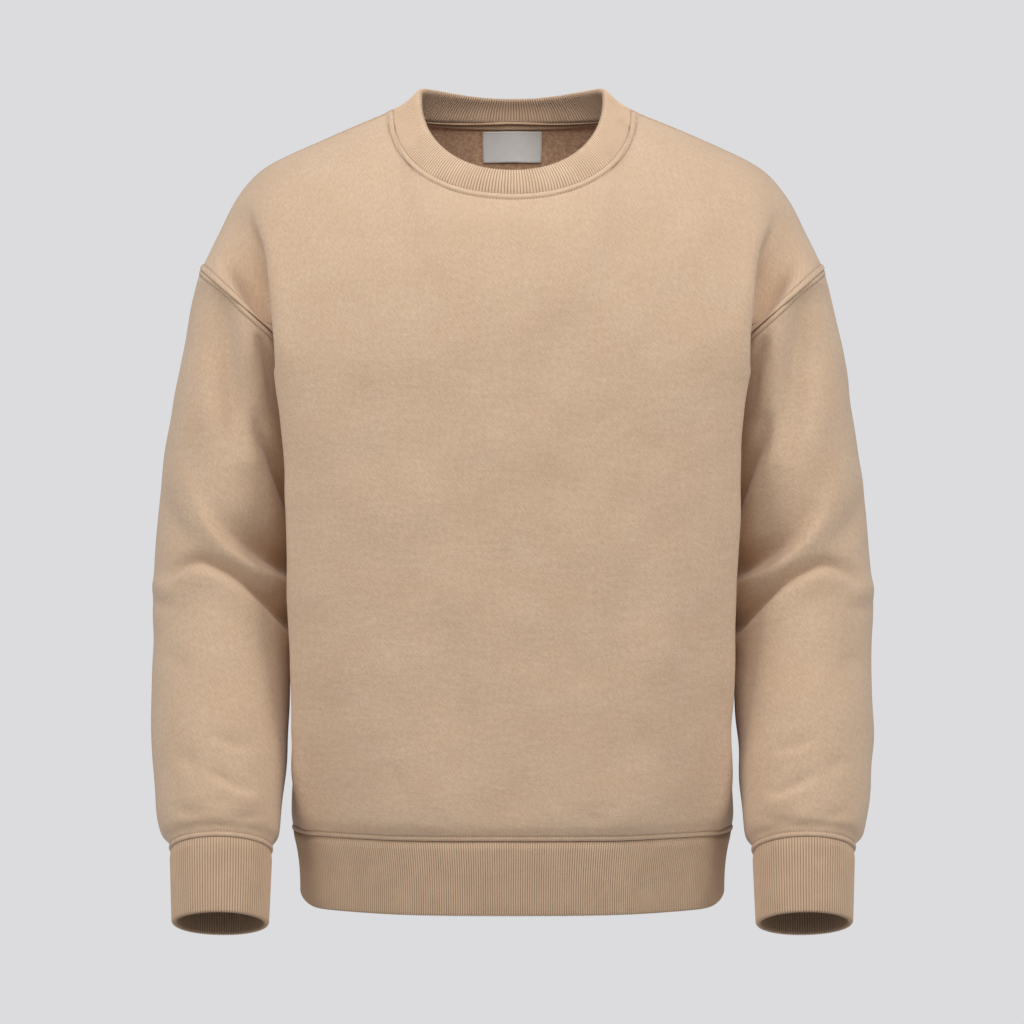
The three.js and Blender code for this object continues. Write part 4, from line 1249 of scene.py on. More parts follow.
FORM = WornForm()
TURNS = np.linspace(0, 1, 721)
ARMHOLE_SEAM = Seam(FORM.sleeve_plain(TURNS * 2 * math.pi - math.pi, np.zeros_like(TURNS)))
CUFF_SEAM = Seam(FORM.sleeve_plain(TURNS * 2 * math.pi - math.pi, np.full_like(TURNS, float(CUFF_TOP))))
NECK_LINE = Seam(FORM.neck_loop(NECK_SEAM, TURNS * math.pi))
SHOULDER_SEAM = Seam(FORM.shoulder_point(TURNS))
HEM_LINE = Seam(FORM.hem_point(TURNS * 0.5, np.ones_like(TURNS)))
SIDE_SEAM = Seam(FORM.body_plain(Face.FRONT, np.full_like(TURNS, 4.0), TURNS))
UNDERARM_SEAM = Seam(FORM.sleeve_plain(np.full_like(TURNS, math.pi), TURNS * CUFF_TOP))

FRONT_FOLDS = Folds([
    [(-235, -84, 0, 7, 18), (-228, -104, -8, 5.5, 21), (-219, -129, -16, 4.5, 22), (-213, -163, -17, 4, 21),
     (-209, -193, -13.5, 4, 18), (-206, -226, -4, 5, 13)],
    [(-219, -98, 0, 14, 5), (-207, -128, 2.5, 14, 5), (-202, -163, 3, 13, 5), (-199, -195, 3, 12, 5),
     (-196, -230, 2, 12, 6), (-194, -266, 0, 12, 8)],
    [(234, -86, 0, 18, 7), (227, -106, -7, 20, 5.5), (218, -131, -14, 21, 4.5), (212, -166, -15, 20, 4),
     (208, -197, -12, 17, 4), (206, -226, -3.5, 12, 5)],
    [(217, -100, 0, 5, 14), (206, -130, 2.2, 5, 14), (201, -168, 3, 5, 13), (198, -200, 2.6, 5, 12),
     (196, -240, 0, 7, 12)],
    [(-126, -225, 0, 16, 16), (-128, -270, -2.6, 16, 16), (-133, -345, 0, 18, 18)],
    [(-57, -410, 0, 14, 14), (-53, -470, -2.8, 14, 14), (-47, -560, -2.4, 16, 14), (-44, -612, 0, 14, 14)],
    [(90, -385, 0, 14, 14), (92, -440, -2.8, 14, 14), (93, -510, -2.4, 14, 14), (99, -570, 0, 14, 14)],
    [(128, -370, 0, 14, 14), (129, -430, 2.6, 14, 14), (131, -500, 2.2, 14, 14), (137, -560, 0, 14, 14)],
    [(-188, -548, 0, 7, 5), (-184, -585, 2.2, 8, 4), (-177, -623, 2.6, 8, 4)],
    [(187, -552, 0, 5, 7), (183.5, -588, 2, 4, 8), (177, -623, 2.4, 4, 8)],
    [(30, -578, 0, 5, 6), (36, -592, -1.1, 4, 6), (46, -604, 0, 5, 6)],
    [(60, -600, 0, 4, 5), (69, -609, -1.2, 3, 5), (82, -614, 0, 4, 5)],
    [(-68, -606, 0, 4, 5), (-50, -614, -0.9, 3, 5), (-36, -615, 0, 4, 5)],
    [(-110, -560, 0, 5, 7), (-98, -574, -0.9, 5, 7), (-90, -590, 0, 5, 7)],
])
BACK_FOLDS = Folds([
    [(-78, -365, 0, 16, 16), (-70, -420, -3, 16, 16), (-62, -530, -2.6, 16, 16), (-58, -590, 0, 16, 16)],
    [(92, -345, 0, 16, 16), (86, -400, -3, 16, 16), (77, -510, -2.6, 16, 16), (70, -570, 0, 16, 16)],
    [(-165, -118, 0, 18, 18), (-145, -160, -3, 18, 18), (-112, -240, -2.8, 18, 18), (-88, -300, 0, 18, 18)],
    [(166, -114, 0, 18, 18), (148, -155, -3, 18, 18), (116, -235, -2.8, 18, 18), (96, -292, 0, 18, 18)],
    [(-212, -100, 0, 6, 14), (-206, -140, -3, 6, 14), (-203, -190, -4, 6, 13), (-199, -240, 0, 8, 12)],
    [(213, -104, 0, 14, 6), (207, -146, -3, 14, 6), (204, -196, -4, 13, 6), (200, -244, 0, 12, 8)],
    [(20, -570, 0, 6, 8), (34, -590, -1.2, 5, 8), (52, -606, 0, 6, 8)],
])
SLEEVE_FOLDS = Folds([
    [(289, -300, 0, 15, 10), (277, -327, 2.5, 15, 9), (265, -352, 4.5, 14, 7), (250, -374, 7, 13, 5),
     (231, -392, 8, 12, 3.8), (210, -405.5, 8, 11, 3.5), (188, -417, 7, 10, 3.5)],
    [(262, -342, 0, 6, 16), (245, -364, -4, 6, 17), (227, -379, -9.5, 5, 17), (208, -391, -12, 5, 15),
     (186, -404, -11, 5, 14)],
    [(300, -412, 0, 5, 9), (283, -400, -4.5, 4, 8), (264.7, -394.8, -7, 3, 7), (245.6, -401, -9, 2.9, 6.5),
     (227, -412, -9.5, 3, 6), (210, -429.5, -9, 3.6, 6), (192, -450, -7, 4.5, 7)],
    [(290, -414, 0, 14, 5), (265, -405, 3, 14, 4), (246, -411.5, 3.6, 13, 4), (228, -423, 4, 13, 4),
     (212, -440, 4, 12, 5), (196, -459, 2.5, 12, 6)],
    [(304, -325, 0, 13, 9), (296, -349, -2.5, 13, 9), (285, -368, -2.5, 12, 9), (272, -382, 0, 10, 8)],
    [(312, -415, 2, 12, 8), (298, -416, 1.5, 12, 8), (280, -415, 0, 10, 8)],
    [(254, -152, 0, 16, 14), (252, -172, -9, 17, 15), (249, -205, -15, 19, 15), (243, -240, -14, 18, 15),
     (236, -276, -9, 16, 14), (229, -308, 0, 14, 14)],
    [(217, -199, 0, 5, 5), (211, -213, -5, 5, 5), (206, -233, -6, 5, 6), (203, -256, -3, 6, 7), (201, -280, 0, 7, 8)],
    [(218, -262, 0, 6, 6), (211, -290, -5, 5, 6), (201, -315, -8, 4.5, 6), (192, -342, -8, 4.5, 6), (185, -368, -4, 6, 6)],
    [(231, -264, 0, 12, 7), (223, -294, 2.6, 12, 6), (213, -322, 3.2, 12, 6), (205, -348, 2, 12, 6), (199, -370, 0, 10, 7)],
    [(287, -425, 0, 8, 8), (296, -431, -1.6, 8, 7), (307, -430, -1.6, 8, 7)],
    [(300, -468, 0, 9, 9), (286, -478, -1.6, 9, 9), (272, -479, 0, 9, 9)],
    [(258, -538, 0, 5, 7), (246, -543, -2, 4, 7), (232, -549, -2.2, 4, 7), (218, -549, 0, 5, 7)],
    [(282, -553, 0, 8, 8), (273, -562, -2.2, 7, 8), (262, -566, 0, 8, 8)],
    [(262, -566, 0, 5, 6), (246, -575, -2.6, 4, 6), (230, -584, -2.8, 4, 6), (214, -588, 0, 5, 6)],
    [(256, -576, 0, 7, 4), (240, -584, 2, 7, 4), (222, -592, 1.6, 7, 4), (210, -594, 0, 7, 5)],
    [(288, -600, 0, 6, 6), (272, -604, -1.8, 5, 6), (254, -602, 0, 6, 6)],
    [(242, -604, 0, 5, 5), (224, -609, -2, 4, 6), (206, -606, 0, 5, 5)],
])
SLEEVE_BACK_FOLDS = Folds([
    [(292, -322, 0, 13, 11), (272, -360, 3.5, 13, 9), (244, -386, 4.5, 12, 8), (212, -398, 3, 12, 8), (190, -404, 0, 10, 8)],
    [(282, -396, 0, 8, 10), (260, -404, -4.5, 7, 11), (232, -416, -5.5, 7, 11), (208, -430, -4, 8, 10), (192, -446, 0, 8, 10)],
    [(296, -462, 0, 14, 12), (270, -476, 2.6, 14, 11), (238, -482, 3, 14, 11), (208, -488, 0, 13, 11)],
    [(258, -170, 0, 14, 14), (252, -210, -3, 14, 14), (243, -255, -3, 14, 14), (236, -295, 0, 12, 12)],
    [(276, -566, 0, 7, 7), (256, -574, -2, 6, 7), (234, -584, 0, 6, 7)],
])


@dataclass
class BodyPanel:
    """The front or the back: one piece of fleece from the hem seam to the neckline and the shoulders."""

    face: Face
    wall: float = 2.0
    coarse: float = 3.5
    fine: float = 0.95
    soften: float = 0.42
    flat: tuple[float, float] = (0.57, 0.66)
    area: float = 0.335
    neck: Flange = Flange(width=4.6, rise=1.3, groove=0.1)
    armhole: Flange = Flange(width=5.2, rise=1.3, groove=0.3)
    hem: Flange = Flange(width=4.2, rise=1.0, groove=0.1)
    shoulder: Flange = Flange(width=3.6, rise=0.45, groove=0.5)
    side: Flange = Flange(width=2.0, rise=0.0, pull=0.0)

    @property
    def name(self) -> str:
        """The node that the panel stands for."""
        return "front" if self.face is Face.FRONT else "back"

    @property
    def folds(self) -> Folds:
        """The panel's own folds."""
        return FRONT_FOLDS if self.face is Face.FRONT else BACK_FOLDS

    def evaluate(self, line: Array, rise: Array) -> tuple[Array, Array, Array]:
        """Outer face of the cloth, with its creases and seams.

        Args:
            line: signed place across the panel, from -4 to 4.
            rise: place up the panel, from 0 to 2.

        Returns:
            Points, outward directions and the shade in the seams.
        """
        side = np.where(line < 0, -1.0, 1.0)
        mirror = np.stack([side, np.ones_like(side), np.ones_like(side)], -1)
        reach = np.abs(line)
        half = self.smooth(reach, rise)
        normals = self.shared(outward(self.smooth, *self.within(reach, rise)) * -self.face.value, half, reach, rise)
        distances = [
            (self.neck, NECK_LINE.distance(half)),
            (self.armhole, ARMHOLE_SEAM.distance(half)),
            (self.hem, HEM_LINE.distance(half)),
            (self.shoulder if self.face is Face.BACK else self.side, SHOULDER_SEAM.distance(half)),
            (self.side, SIDE_SEAM.distance(half)),
        ]
        ridge = np.max([flange.ridge(d) for flange, d in distances], axis=0)
        sunk = np.max([flange.sunk(d) for flange, d in distances], axis=0)
        # shade is painted shade for the seam grooves and stitch lines; it darkens the cloth colour there
        shade = np.max([flange.shade(d) for flange, d in distances], axis=0)
        calm = ease(np.min([d for _, d in distances], axis=0) / 30)
        points, normals = half * mirror, normals * mirror
        folds = self.folds.height(points[..., 0], points[..., 2]) + unevenness(points)
        lift = folds * (0.25 + 0.75 * calm) + ridge - sunk
        return points + normals * lift[..., None], normals, shade

    def within(self, line: Array, rise: Array) -> tuple[Array, Array]:
        """The same places, kept a small step inside the panel's edges."""
        return np.clip(line, SLIGHT, 4 - SLIGHT), np.clip(rise, SLIGHT, 2 - SLIGHT)

    def smooth(self, line: Array, rise: Array) -> Array:
        """The plain form without the slight break that runs down from the neck point."""
        reach = self.soften * ease((2 - rise) / 0.12) * ease((rise - 0.9) / 0.2) * ease(1 - np.abs(line - 1) / 0.95)
        offsets, shares = (-1.0, -0.5, 0.0, 0.5, 1.0), (0.12, 0.23, 0.3, 0.23, 0.12)
        return sum(
            share * FORM.body_plain(self.face, np.abs(line + offset * reach), rise)
            for offset, share in zip(offsets, shares)
        )

    def shared(self, normals: Array, points: Array, line: Array, rise: Array) -> Array:
        """Turns the wall near the armhole and the shoulder to the direction it shares with its neighbour."""
        turn = math.pi * np.clip(2 - rise, 0, 1)
        sleeve = FORM.sleeve_outward(turn if self.face is Face.FRONT else -turn, np.zeros_like(rise))
        other = FORM.body_outward(Face.BACK if self.face is Face.FRONT else Face.FRONT, line, np.full_like(rise, 2.0))
        for near, neighbour, seam in (
            ((line > 3) & (rise >= 1), sleeve, ARMHOLE_SEAM),
            ((rise > 1.8) & (line >= 0.9), other, SHOULDER_SEAM),
        ):
            weight = np.zeros_like(rise)
            weight[near] = 1 - ease(seam.distance(points[near]) / 9)
            facing = np.clip(np.sum(normals * neighbour, -1) / 0.5, 0, 1)
            normals = unit(normals + neighbour * (weight * facing)[..., None])
        return normals

    def grid(self) -> tuple[Array, Array]:
        """Places across and up the panel, closer together at its seams."""
        fine_line, fine_rise = np.linspace(0, 4, 801), np.linspace(0, 2, 801)
        across = run_length(FORM.body_plain(self.face, fine_line, np.full_like(fine_line, 0.8)), 0)
        up = run_length(FORM.body_plain(self.face, np.full_like(fine_rise, 0.9), fine_rise), 0)
        half = np.interp(graded(across[-1], self.coarse, self.fine, (0.0, 8.0)) * across[-1], across, fine_line)
        rises = np.interp(graded(up[-1], self.coarse, self.fine, (9.0, 9.0)) * up[-1], up, fine_rise)
        lines = np.concatenate([-half[:0:-1], half])
        if self.face is Face.BACK:
            lines = lines[::-1]
        return np.meshgrid(lines, rises)

    def build(self, wardrobe: Wardrobe) -> list[StitchPath]:
        """Builds the panel, declares its cloth, and returns the paths of its stitches."""
        lines, rises = self.grid()
        outer, normals, shade = self.evaluate(lines, rises)
        inner = outer - normals * self.wall
        piece = wall(outer, inner, {"shade": shade}, ring=False).finish(
            self.name + "_panel", [wardrobe.fleece, wardrobe.inside])
        own(piece, self.name, "fleece")
        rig.sheet(piece, flat=self.flat, held="draped", area=self.area)
        half = np.abs(outer) * np.array([1, 0, 0]) + outer * np.array([0, 1, 1])
        neck, arm = NECK_LINE.distance(half), ARMHOLE_SEAM.distance(half)
        hem, shoulder = HEM_LINE.distance(half), SHOULDER_SEAM.distance(half)
        reach = np.abs(lines[0])
        near_neck = np.nonzero(reach <= 1.04)[0]
        high = rises[:, 0] >= 1.0

        def columns(grid: Array, pick: Array) -> Array:
            """Some columns of a grid, as rows that run up the cloth."""
            return np.swapaxes(grid[:, pick], 0, 1)

        paths = [offset_path(columns(outer, near_neck), columns(normals, near_neck), columns(neck, near_neck), self.neck.width + 0.5, 0.1)]
        everywhere = np.arange(len(reach))
        low = [columns(g, everywhere)[:, ::-1] for g in (outer, normals, hem)]
        paths.append(offset_path(*low, self.hem.width + 0.5, 0.1))
        for flip in (False, True):
            turned = [g[high][:, ::-1] if flip else g[high] for g in (outer, normals, arm)]
            paths.append(offset_path(*turned, self.armhole.width + 0.5, 0.1))
        if self.face is Face.BACK:
            for sign in (1, -1):
                pick = np.nonzero((lines[0] * sign >= 1.0) & (reach <= 3.9))[0]
                paths.append(offset_path(columns(outer, pick), columns(normals, pick), columns(shoulder, pick), self.shoulder.width + 0.5, 0.1))
        return paths


@dataclass
class Sleeve:
    """A long sleeve, one piece of fleece closed by a seam along its inner side."""

    side: int
    wall: float = 2.0
    coarse: float = 2.2
    fine: float = 0.95
    columns: int = 156
    flat: tuple[float, float] = (0.45, 0.50)
    area: float = 0.181
    armhole: Flange = Flange(width=3.5, rise=0.6, groove=0.4)
    cuff: Flange = Flange(width=4.0, rise=1.25, groove=0.3)
    underarm: Flange = Flange(width=2.0, rise=0.0, pull=0.0)
    underarm_draw: float = 1.2
    fold_shift: dict[int, float] = field(default_factory=lambda: {1: 2.5, -1: 0.0})

    @property
    def word(self) -> str:
        """The wearer's side of the sleeve."""
        return "left" if self.side > 0 else "right"

    def evaluate(self, angle: Array, step: Array) -> tuple[Array, Array, Array, Array, Array]:
        """Outer face of the +X sleeve, with its creases and seams.

        Args:
            angle: place round the sleeve.
            step: place along it.

        Returns:
            Points, outward directions, the shade in the seams, and the distances from armhole and cuff seam.
        """
        plain = FORM.sleeve_plain(angle, step)
        normals = FORM.sleeve_outward(angle, step)
        front = angle > 0
        rise = 2 - np.abs(angle) / math.pi
        arm, cuff = ARMHOLE_SEAM.distance(plain), CUFF_SEAM.distance(plain)
        seam_line = np.full_like(rise, 4.0)
        body = np.where(front[..., None], FORM.body_outward(Face.FRONT, seam_line, rise), FORM.body_outward(Face.BACK, seam_line, rise))
        facing = np.clip(np.sum(normals * body, -1) / 0.5, 0, 1)
        weight = (1 - ease(arm / 9)) * facing * (step < 1)
        normals = unit(normals + body * weight[..., None])
        distances = [(self.armhole, arm), (self.cuff, cuff), (self.underarm, UNDERARM_SEAM.distance(plain))]
        ridge = np.max([flange.ridge(d) for flange, d in distances], axis=0)
        sunk = np.max([flange.sunk(d) for flange, d in distances], axis=0)
        # shade is painted shade for the seam grooves and stitch lines; it darkens the cloth colour there
        shade = np.max([flange.shade(d) for flange, d in distances], axis=0)
        frontal = ease(np.sin(angle) * 1.7 + 0.3)
        rear = ease(-np.sin(angle) * 1.7 + 0.1)
        x, z = plain[..., 0], plain[..., 2] + self.fold_shift[self.side]
        folds = SLEEVE_FOLDS.height(x, z) * frontal + SLEEVE_BACK_FOLDS.height(x, z) * rear
        calm = ease(np.minimum(arm, cuff) / 30)
        folds = folds + unevenness(plain * np.array([self.side, 1, 1])) * (0.25 + 0.75 * calm)
        lift = folds + ridge - sunk
        drawn = ease(-np.cos(angle)) * self.underarm_draw * (1 - ease(arm / 20))
        down = np.stack([np.zeros_like(drawn), np.zeros_like(drawn), -drawn], -1)
        return plain + normals * lift[..., None] + down, normals, shade, arm, cuff

    def build(self, wardrobe: Wardrobe) -> list[StitchPath]:
        """Builds the sleeve, declares its cloth, and returns the paths of its stitches."""
        fine_step = np.linspace(0, CUFF_TOP, 801)
        run = run_length(FORM.sleeve_plain(np.full_like(fine_step, QUARTER), fine_step), 0)
        steps = np.interp(graded(run[-1], self.coarse, self.fine, (8.0, 9.0)) * run[-1], run, fine_step)[::-1]
        angles = np.linspace(math.pi, -math.pi, self.columns, endpoint=False)
        if self.side < 0:
            angles = angles[::-1]
        angle, step = np.meshgrid(angles, steps)
        outer, normals, shade, arm, cuff = self.evaluate(angle, step)
        mirror = np.array([self.side, 1.0, 1.0])
        outer, normals = outer * mirror, normals * mirror
        inner = outer - normals * self.wall
        piece = wall(outer, inner, {"shade": shade}, ring=True).finish(
            "sleeve_" + self.word + "_cloth", [wardrobe.fleece, wardrobe.inside])
        own(piece, "sleeve_" + self.word, "fleece")
        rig.sheet(piece, flat=self.flat, held="draped", area=self.area)

        def lengthwise(grid: Array) -> Array:
            """The grid with its rows along the sleeve and the armhole last."""
            return np.swapaxes(grid, 0, 1)

        top = offset_path(lengthwise(outer), lengthwise(normals), lengthwise(arm), self.armhole.width + 0.4, 0.1)
        low = offset_path(lengthwise(outer)[:, ::-1], lengthwise(normals)[:, ::-1], lengthwise(cuff)[:, ::-1], self.cuff.width + 0.5, 0.1)
        return [StitchPath(p.points, p.lay, closed=True) for p in (top, low)]


# ---------------------------------------------------------------- rib bands


@dataclass
class RibBand:
    """A band of doubled rib knit, folded at its free edge."""

    name: str
    node: str
    surface: Callable[[Array, Array], Array]
    ribs: int
    height_mm: float
    flat: tuple[float, float]
    fold_at: float = 0.0
    side: int = 1
    rib_points: int = 6
    rows: int = 9
    wall: float = 2.6
    rise: float = 0.85
    roundness: float = 0.8
    wander: float = 0.25
    inner_extra: float = 0.4

    def even_turns(self) -> Array:
        """Turns that lie evenly round the band, so that its ribs are equally wide."""
        turns = np.linspace(0, 1, 4001)
        run = run_length(self.surface(turns, np.full_like(turns, 0.5)), 0)
        count = self.ribs * self.rib_points
        return np.interp(np.arange(count) / count * run[-1], run, turns)

    def profile(self) -> tuple[Array, Array, Array]:
        """The folded section as a closed loop.

        Returns:
            Height from 0 to 1, depth in mm and the weight of the ribs at each place.
        """
        radius = self.wall / 2 / self.height_mm
        open_at = 1 - self.fold_at
        toward = 1 if self.fold_at == 0 else -1
        straight = np.linspace(0, 1, self.rows)
        outer_h = open_at + (self.fold_at + toward * radius - open_at) * straight
        turn = np.linspace(0, math.pi, 7)[1:-1]
        fold_h = self.fold_at + toward * radius * (1 - np.sin(turn))
        fold_d = self.wall / 2 * (1 - np.cos(turn))
        heights = np.concatenate([outer_h, fold_h, outer_h[::-1]])
        depths = np.concatenate([np.zeros(self.rows), fold_d, np.full(self.rows, self.wall)])
        from_seam = np.abs(heights - open_at) * self.height_mm
        weights = ease((from_seam - 0.2) / 1.6) * (1 + self.inner_extra * ease(depths / self.wall))
        return heights, depths, weights

    def build(self, wardrobe: Wardrobe) -> bpy.types.Object:
        """Builds the band, knits its ribs and declares its cloth."""
        turns = self.even_turns()
        if self.side < 0:
            turns = turns[::-1]
        heights, depths, weights = self.profile()
        turn, height = np.meshgrid(turns, heights)
        inside = np.clip(height, SLIGHT, 1 - SLIGHT)
        normals = outward(self.surface, turn, inside)
        points = self.surface(turn, height) - normals * depths[:, None, None]
        mirror = np.array([self.side, 1.0, 1.0])
        points = points * mirror
        phase = np.broadcast_to(np.arange(len(turns)) / len(turns), turn.shape)
        draft = MeshDraft()
        # inner runs from 0 on the outer layer to 1 on the inner layer; the rib material paints shade by it.
        values = {"turn": phase, "rib_weight": np.broadcast_to(weights[:, None], turn.shape),
                  "inner": np.broadcast_to(depths[:, None] / self.wall, turn.shape)}
        ids = wrap(draft.add_points(points, values), True)
        closed = wrap(points, True)
        ids, closed = np.concatenate([ids, ids[:1]]), np.concatenate([closed, closed[:1]])
        uv = np.stack([run_length(closed, 1), run_length(closed, 0)], -1)
        draft.add_sheet(ids, uv, 0, flipped=self.fold_at == 0)
        cloth = wardrobe.neck_rib if self.fold_at else wardrobe.rib
        piece = draft.finish(self.name, [cloth])
        bake_tree(piece, wardrobe.ribs.tree, wardrobe.ribs.ids, {
            "Rib Count": float(self.ribs), "Rise": self.rise * MM, "Roundness": self.roundness,
            "Wander": self.wander, "Cloth": cloth,
        })
        own(piece, self.node, "rib_knit")
        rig.sheet(piece, flat=self.flat, held="stretched")
        return piece


# ---------------------------------------------------------------- neck trims


@dataclass
class NeckTrim:
    """The tape over the back neck seam and the blank label below it, laid inside the back."""

    back: BodyPanel
    gap: float = 0.3
    tape_reach: float = 0.84
    tape_thick: float = 1.3
    label_half: float = 26.4
    label_top: float = -11.6
    label_length: float = 26.5
    label_thick: float = 0.6

    def inside(self, lines: Array, drops: Array, lift: Array, level: bool) -> tuple[Array, Array]:
        """Places on the inside of the back.

        Args:
            lines: places across the back.
            drops: distances below the neck seam, or below the label's top where level is set, in mm.
            lift: distance off the inside of the cloth.
            level: the rows are level, as a label's are, and don't follow the seam.

        Returns:
            Points and the directions out of the back, both of drops by lines.
        """
        fine = np.linspace(2.0, 1.7, 240)
        grid_line, grid_rise = np.meshgrid(lines, fine)
        plain = FORM.body_plain(Face.BACK, np.abs(grid_line), grid_rise)
        column = self.label_top - plain[..., 2] if level else run_length(plain, 0)
        rises = np.stack([np.interp(drops, column[:, i], fine) for i in range(len(lines))], -1)
        line = np.broadcast_to(lines, rises.shape)
        points, normals, _ = self.back.evaluate(line, rises)
        points = points - normals * (self.back.wall + lift)[..., None]
        points[..., 2] += np.maximum(-drops, 0)[:, None]  # above the neckline the cloth stands straight up
        for _ in range(6 if not level else 0):  # evens out the slight break at the centre of the back
            for grid in (points, normals):
                grid[:, 1:-1] = (grid[:, :-2] + 2 * grid[:, 1:-1] + grid[:, 2:]) / 4
        return points, normals

    def strip(
        self, name: str, lines: Array, drops: Array, lift: Array, thick: float, cloth: bpy.types.Material,
        level: bool = False,
    ) -> tuple[bpy.types.Object, Array, Array]:
        """A closed thin strip inside the back, with softly rounded edges."""
        far, normals = self.inside(lines, drops, lift, level)
        near = far - normals * thick
        rows, columns = len(drops), len(lines)
        edge = np.ones((rows, columns))
        edge[[0, -1]] = 0.45
        edge[:, [0, -1]] = 0.45
        middle = (far + near) / 2
        outer = (middle - normals * (thick / 2) * edge[..., None])[::-1]
        inner = (middle + normals * (thick / 2) * edge[..., None])[::-1]
        draft = wall(outer[:, ::-1], inner[:, ::-1], {}, ring=False, slots=(0, 0))
        return draft.finish(name, [cloth]), outer[::-1], normals

    def build(self, wardrobe: Wardrobe) -> tuple[list[StitchPath], list[StitchPath]]:
        """Builds tape and label, and returns the stitch paths of the tape and of the label."""
        lines = np.linspace(-self.tape_reach, self.tape_reach, 121)
        drops = np.array([-2.2, -1.9, -1.4, -0.7, 0.2, 1.2, 2.4, 3.8, 5.5, 5.9])
        over_band = np.array([1.2, 1.2, 1.1, 0.9, 0.6, 0.3, 0.1, 0, 0, 0])
        flat = np.broadcast_to((self.gap + over_band)[:, None], (len(drops), len(lines)))
        tape, tape_face, tape_out = self.strip("neck_tape_strip", lines, drops, flat, self.tape_thick, wardrobe.tape)
        own(tape, "neck_tape", "tape")
        edge = self.line_at(self.label_half)
        across = edge * np.concatenate([[-1, -0.985, -0.96], np.linspace(-0.9, 0.9, 19), [0.96, 0.985, 1]])
        down = self.label_length * np.concatenate([[0, 0.01, 0.04], np.linspace(0.1, 0.9, 17), [0.96, 0.99, 1]])
        bow = 0.5 + 0.9 * np.outer(np.linspace(0, 1, len(down)) ** 1.5, 1 - (across / edge) ** 2)
        label, label_face, label_out = self.strip("neck_label_cloth", across, down, bow, self.label_thick, wardrobe.label, level=True)
        own(label, "neck_label", "label_satin")
        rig.sheet(label, flat=(2 * self.label_half * MM, self.label_length * MM), held="hung", rests_on=["back_panel"])
        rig.sheet(tape, flat=(0.262, 0.0101), held="stretched", rests_on=["back_panel"], area=0.0016)
        tape_paths = [StitchPath(tape_face[i] - tape_out[i] * 0.1, -tape_out[i]) for i in (3, 7)]
        ring = [label_face[2, 2:-2], label_face[2:-2, -3], label_face[-3, 2:-2][::-1], label_face[2:-2, 2][::-1]]
        lay = [label_out[2, 2:-2], label_out[2:-2, -3], label_out[-3, 2:-2][::-1], label_out[2:-2, 2][::-1]]
        label_paths = [StitchPath(p - n * 0.05, -n) for p, n in zip(ring, lay)]
        return tape_paths, label_paths

    def line_at(self, x: float) -> float:
        """The place across the back at a distance from the centre, along the neck seam."""
        lines = np.linspace(0, 0.6, 200)
        return float(np.interp(x, FORM.body_plain(Face.BACK, lines, np.full_like(lines, 1.95))[:, 0], lines))


# ---------------------------------------------------------------- stitches


@dataclass
class StitchRow:
    """Rows of topstitching of one kind, sewn with one thread."""

    name: str
    paths: list[StitchPath]
    pitch: float = 2.6
    length: float = 1.9
    width: float = 0.75
    height: float = 0.5
    # hole is the length of the dark painted-shade ellipsoid at each needle hole, in mm
    hole: float = 0.95
    seed: int = 7

    def build(self, wardrobe: Wardrobe, thread: bpy.types.Material, slot: str) -> bpy.types.Object:
        """Sews the rows with the stitch tree."""
        mesh = bpy.data.meshes.new(self.name)
        points, lays, edges, start = [], [], [], 0
        for path in self.paths:
            count = len(path.points)
            points.append(path.points)
            lays.append(path.lay)
            edges += [(start + i, start + i + 1) for i in range(count - 1)]
            if path.closed:
                edges.append((start + count - 1, start))
            start += count
        mesh.from_pydata((np.concatenate(points) * MM).tolist(), edges, [])
        lay = mesh.attributes.new("lay", "FLOAT_VECTOR", "POINT")
        lay.data.foreach_set("vector", np.concatenate(lays).astype(np.float32).ravel())
        piece = bpy.data.objects.new(self.name, mesh)
        bpy.context.scene.collection.objects.link(piece)
        bake_tree(piece, wardrobe.stitches.tree, wardrobe.stitches.ids, {
            "Pitch": self.pitch * MM, "Length": self.length * MM, "Width": self.width * MM,
            "Height": self.height * MM, "Hole": self.hole * MM, "Seed": self.seed, "Thread": thread,
        })
        return own(piece, None, slot)


# ---------------------------------------------------------------- studio


@dataclass(frozen=True)
class SoftBox:
    """A soft lamp and the place that it lights, within a cone in radians if one is given."""

    name: str
    place: tuple[float, float, float]
    aim: tuple[float, float, float]
    size: float
    watts: float
    cone: float = 0.0


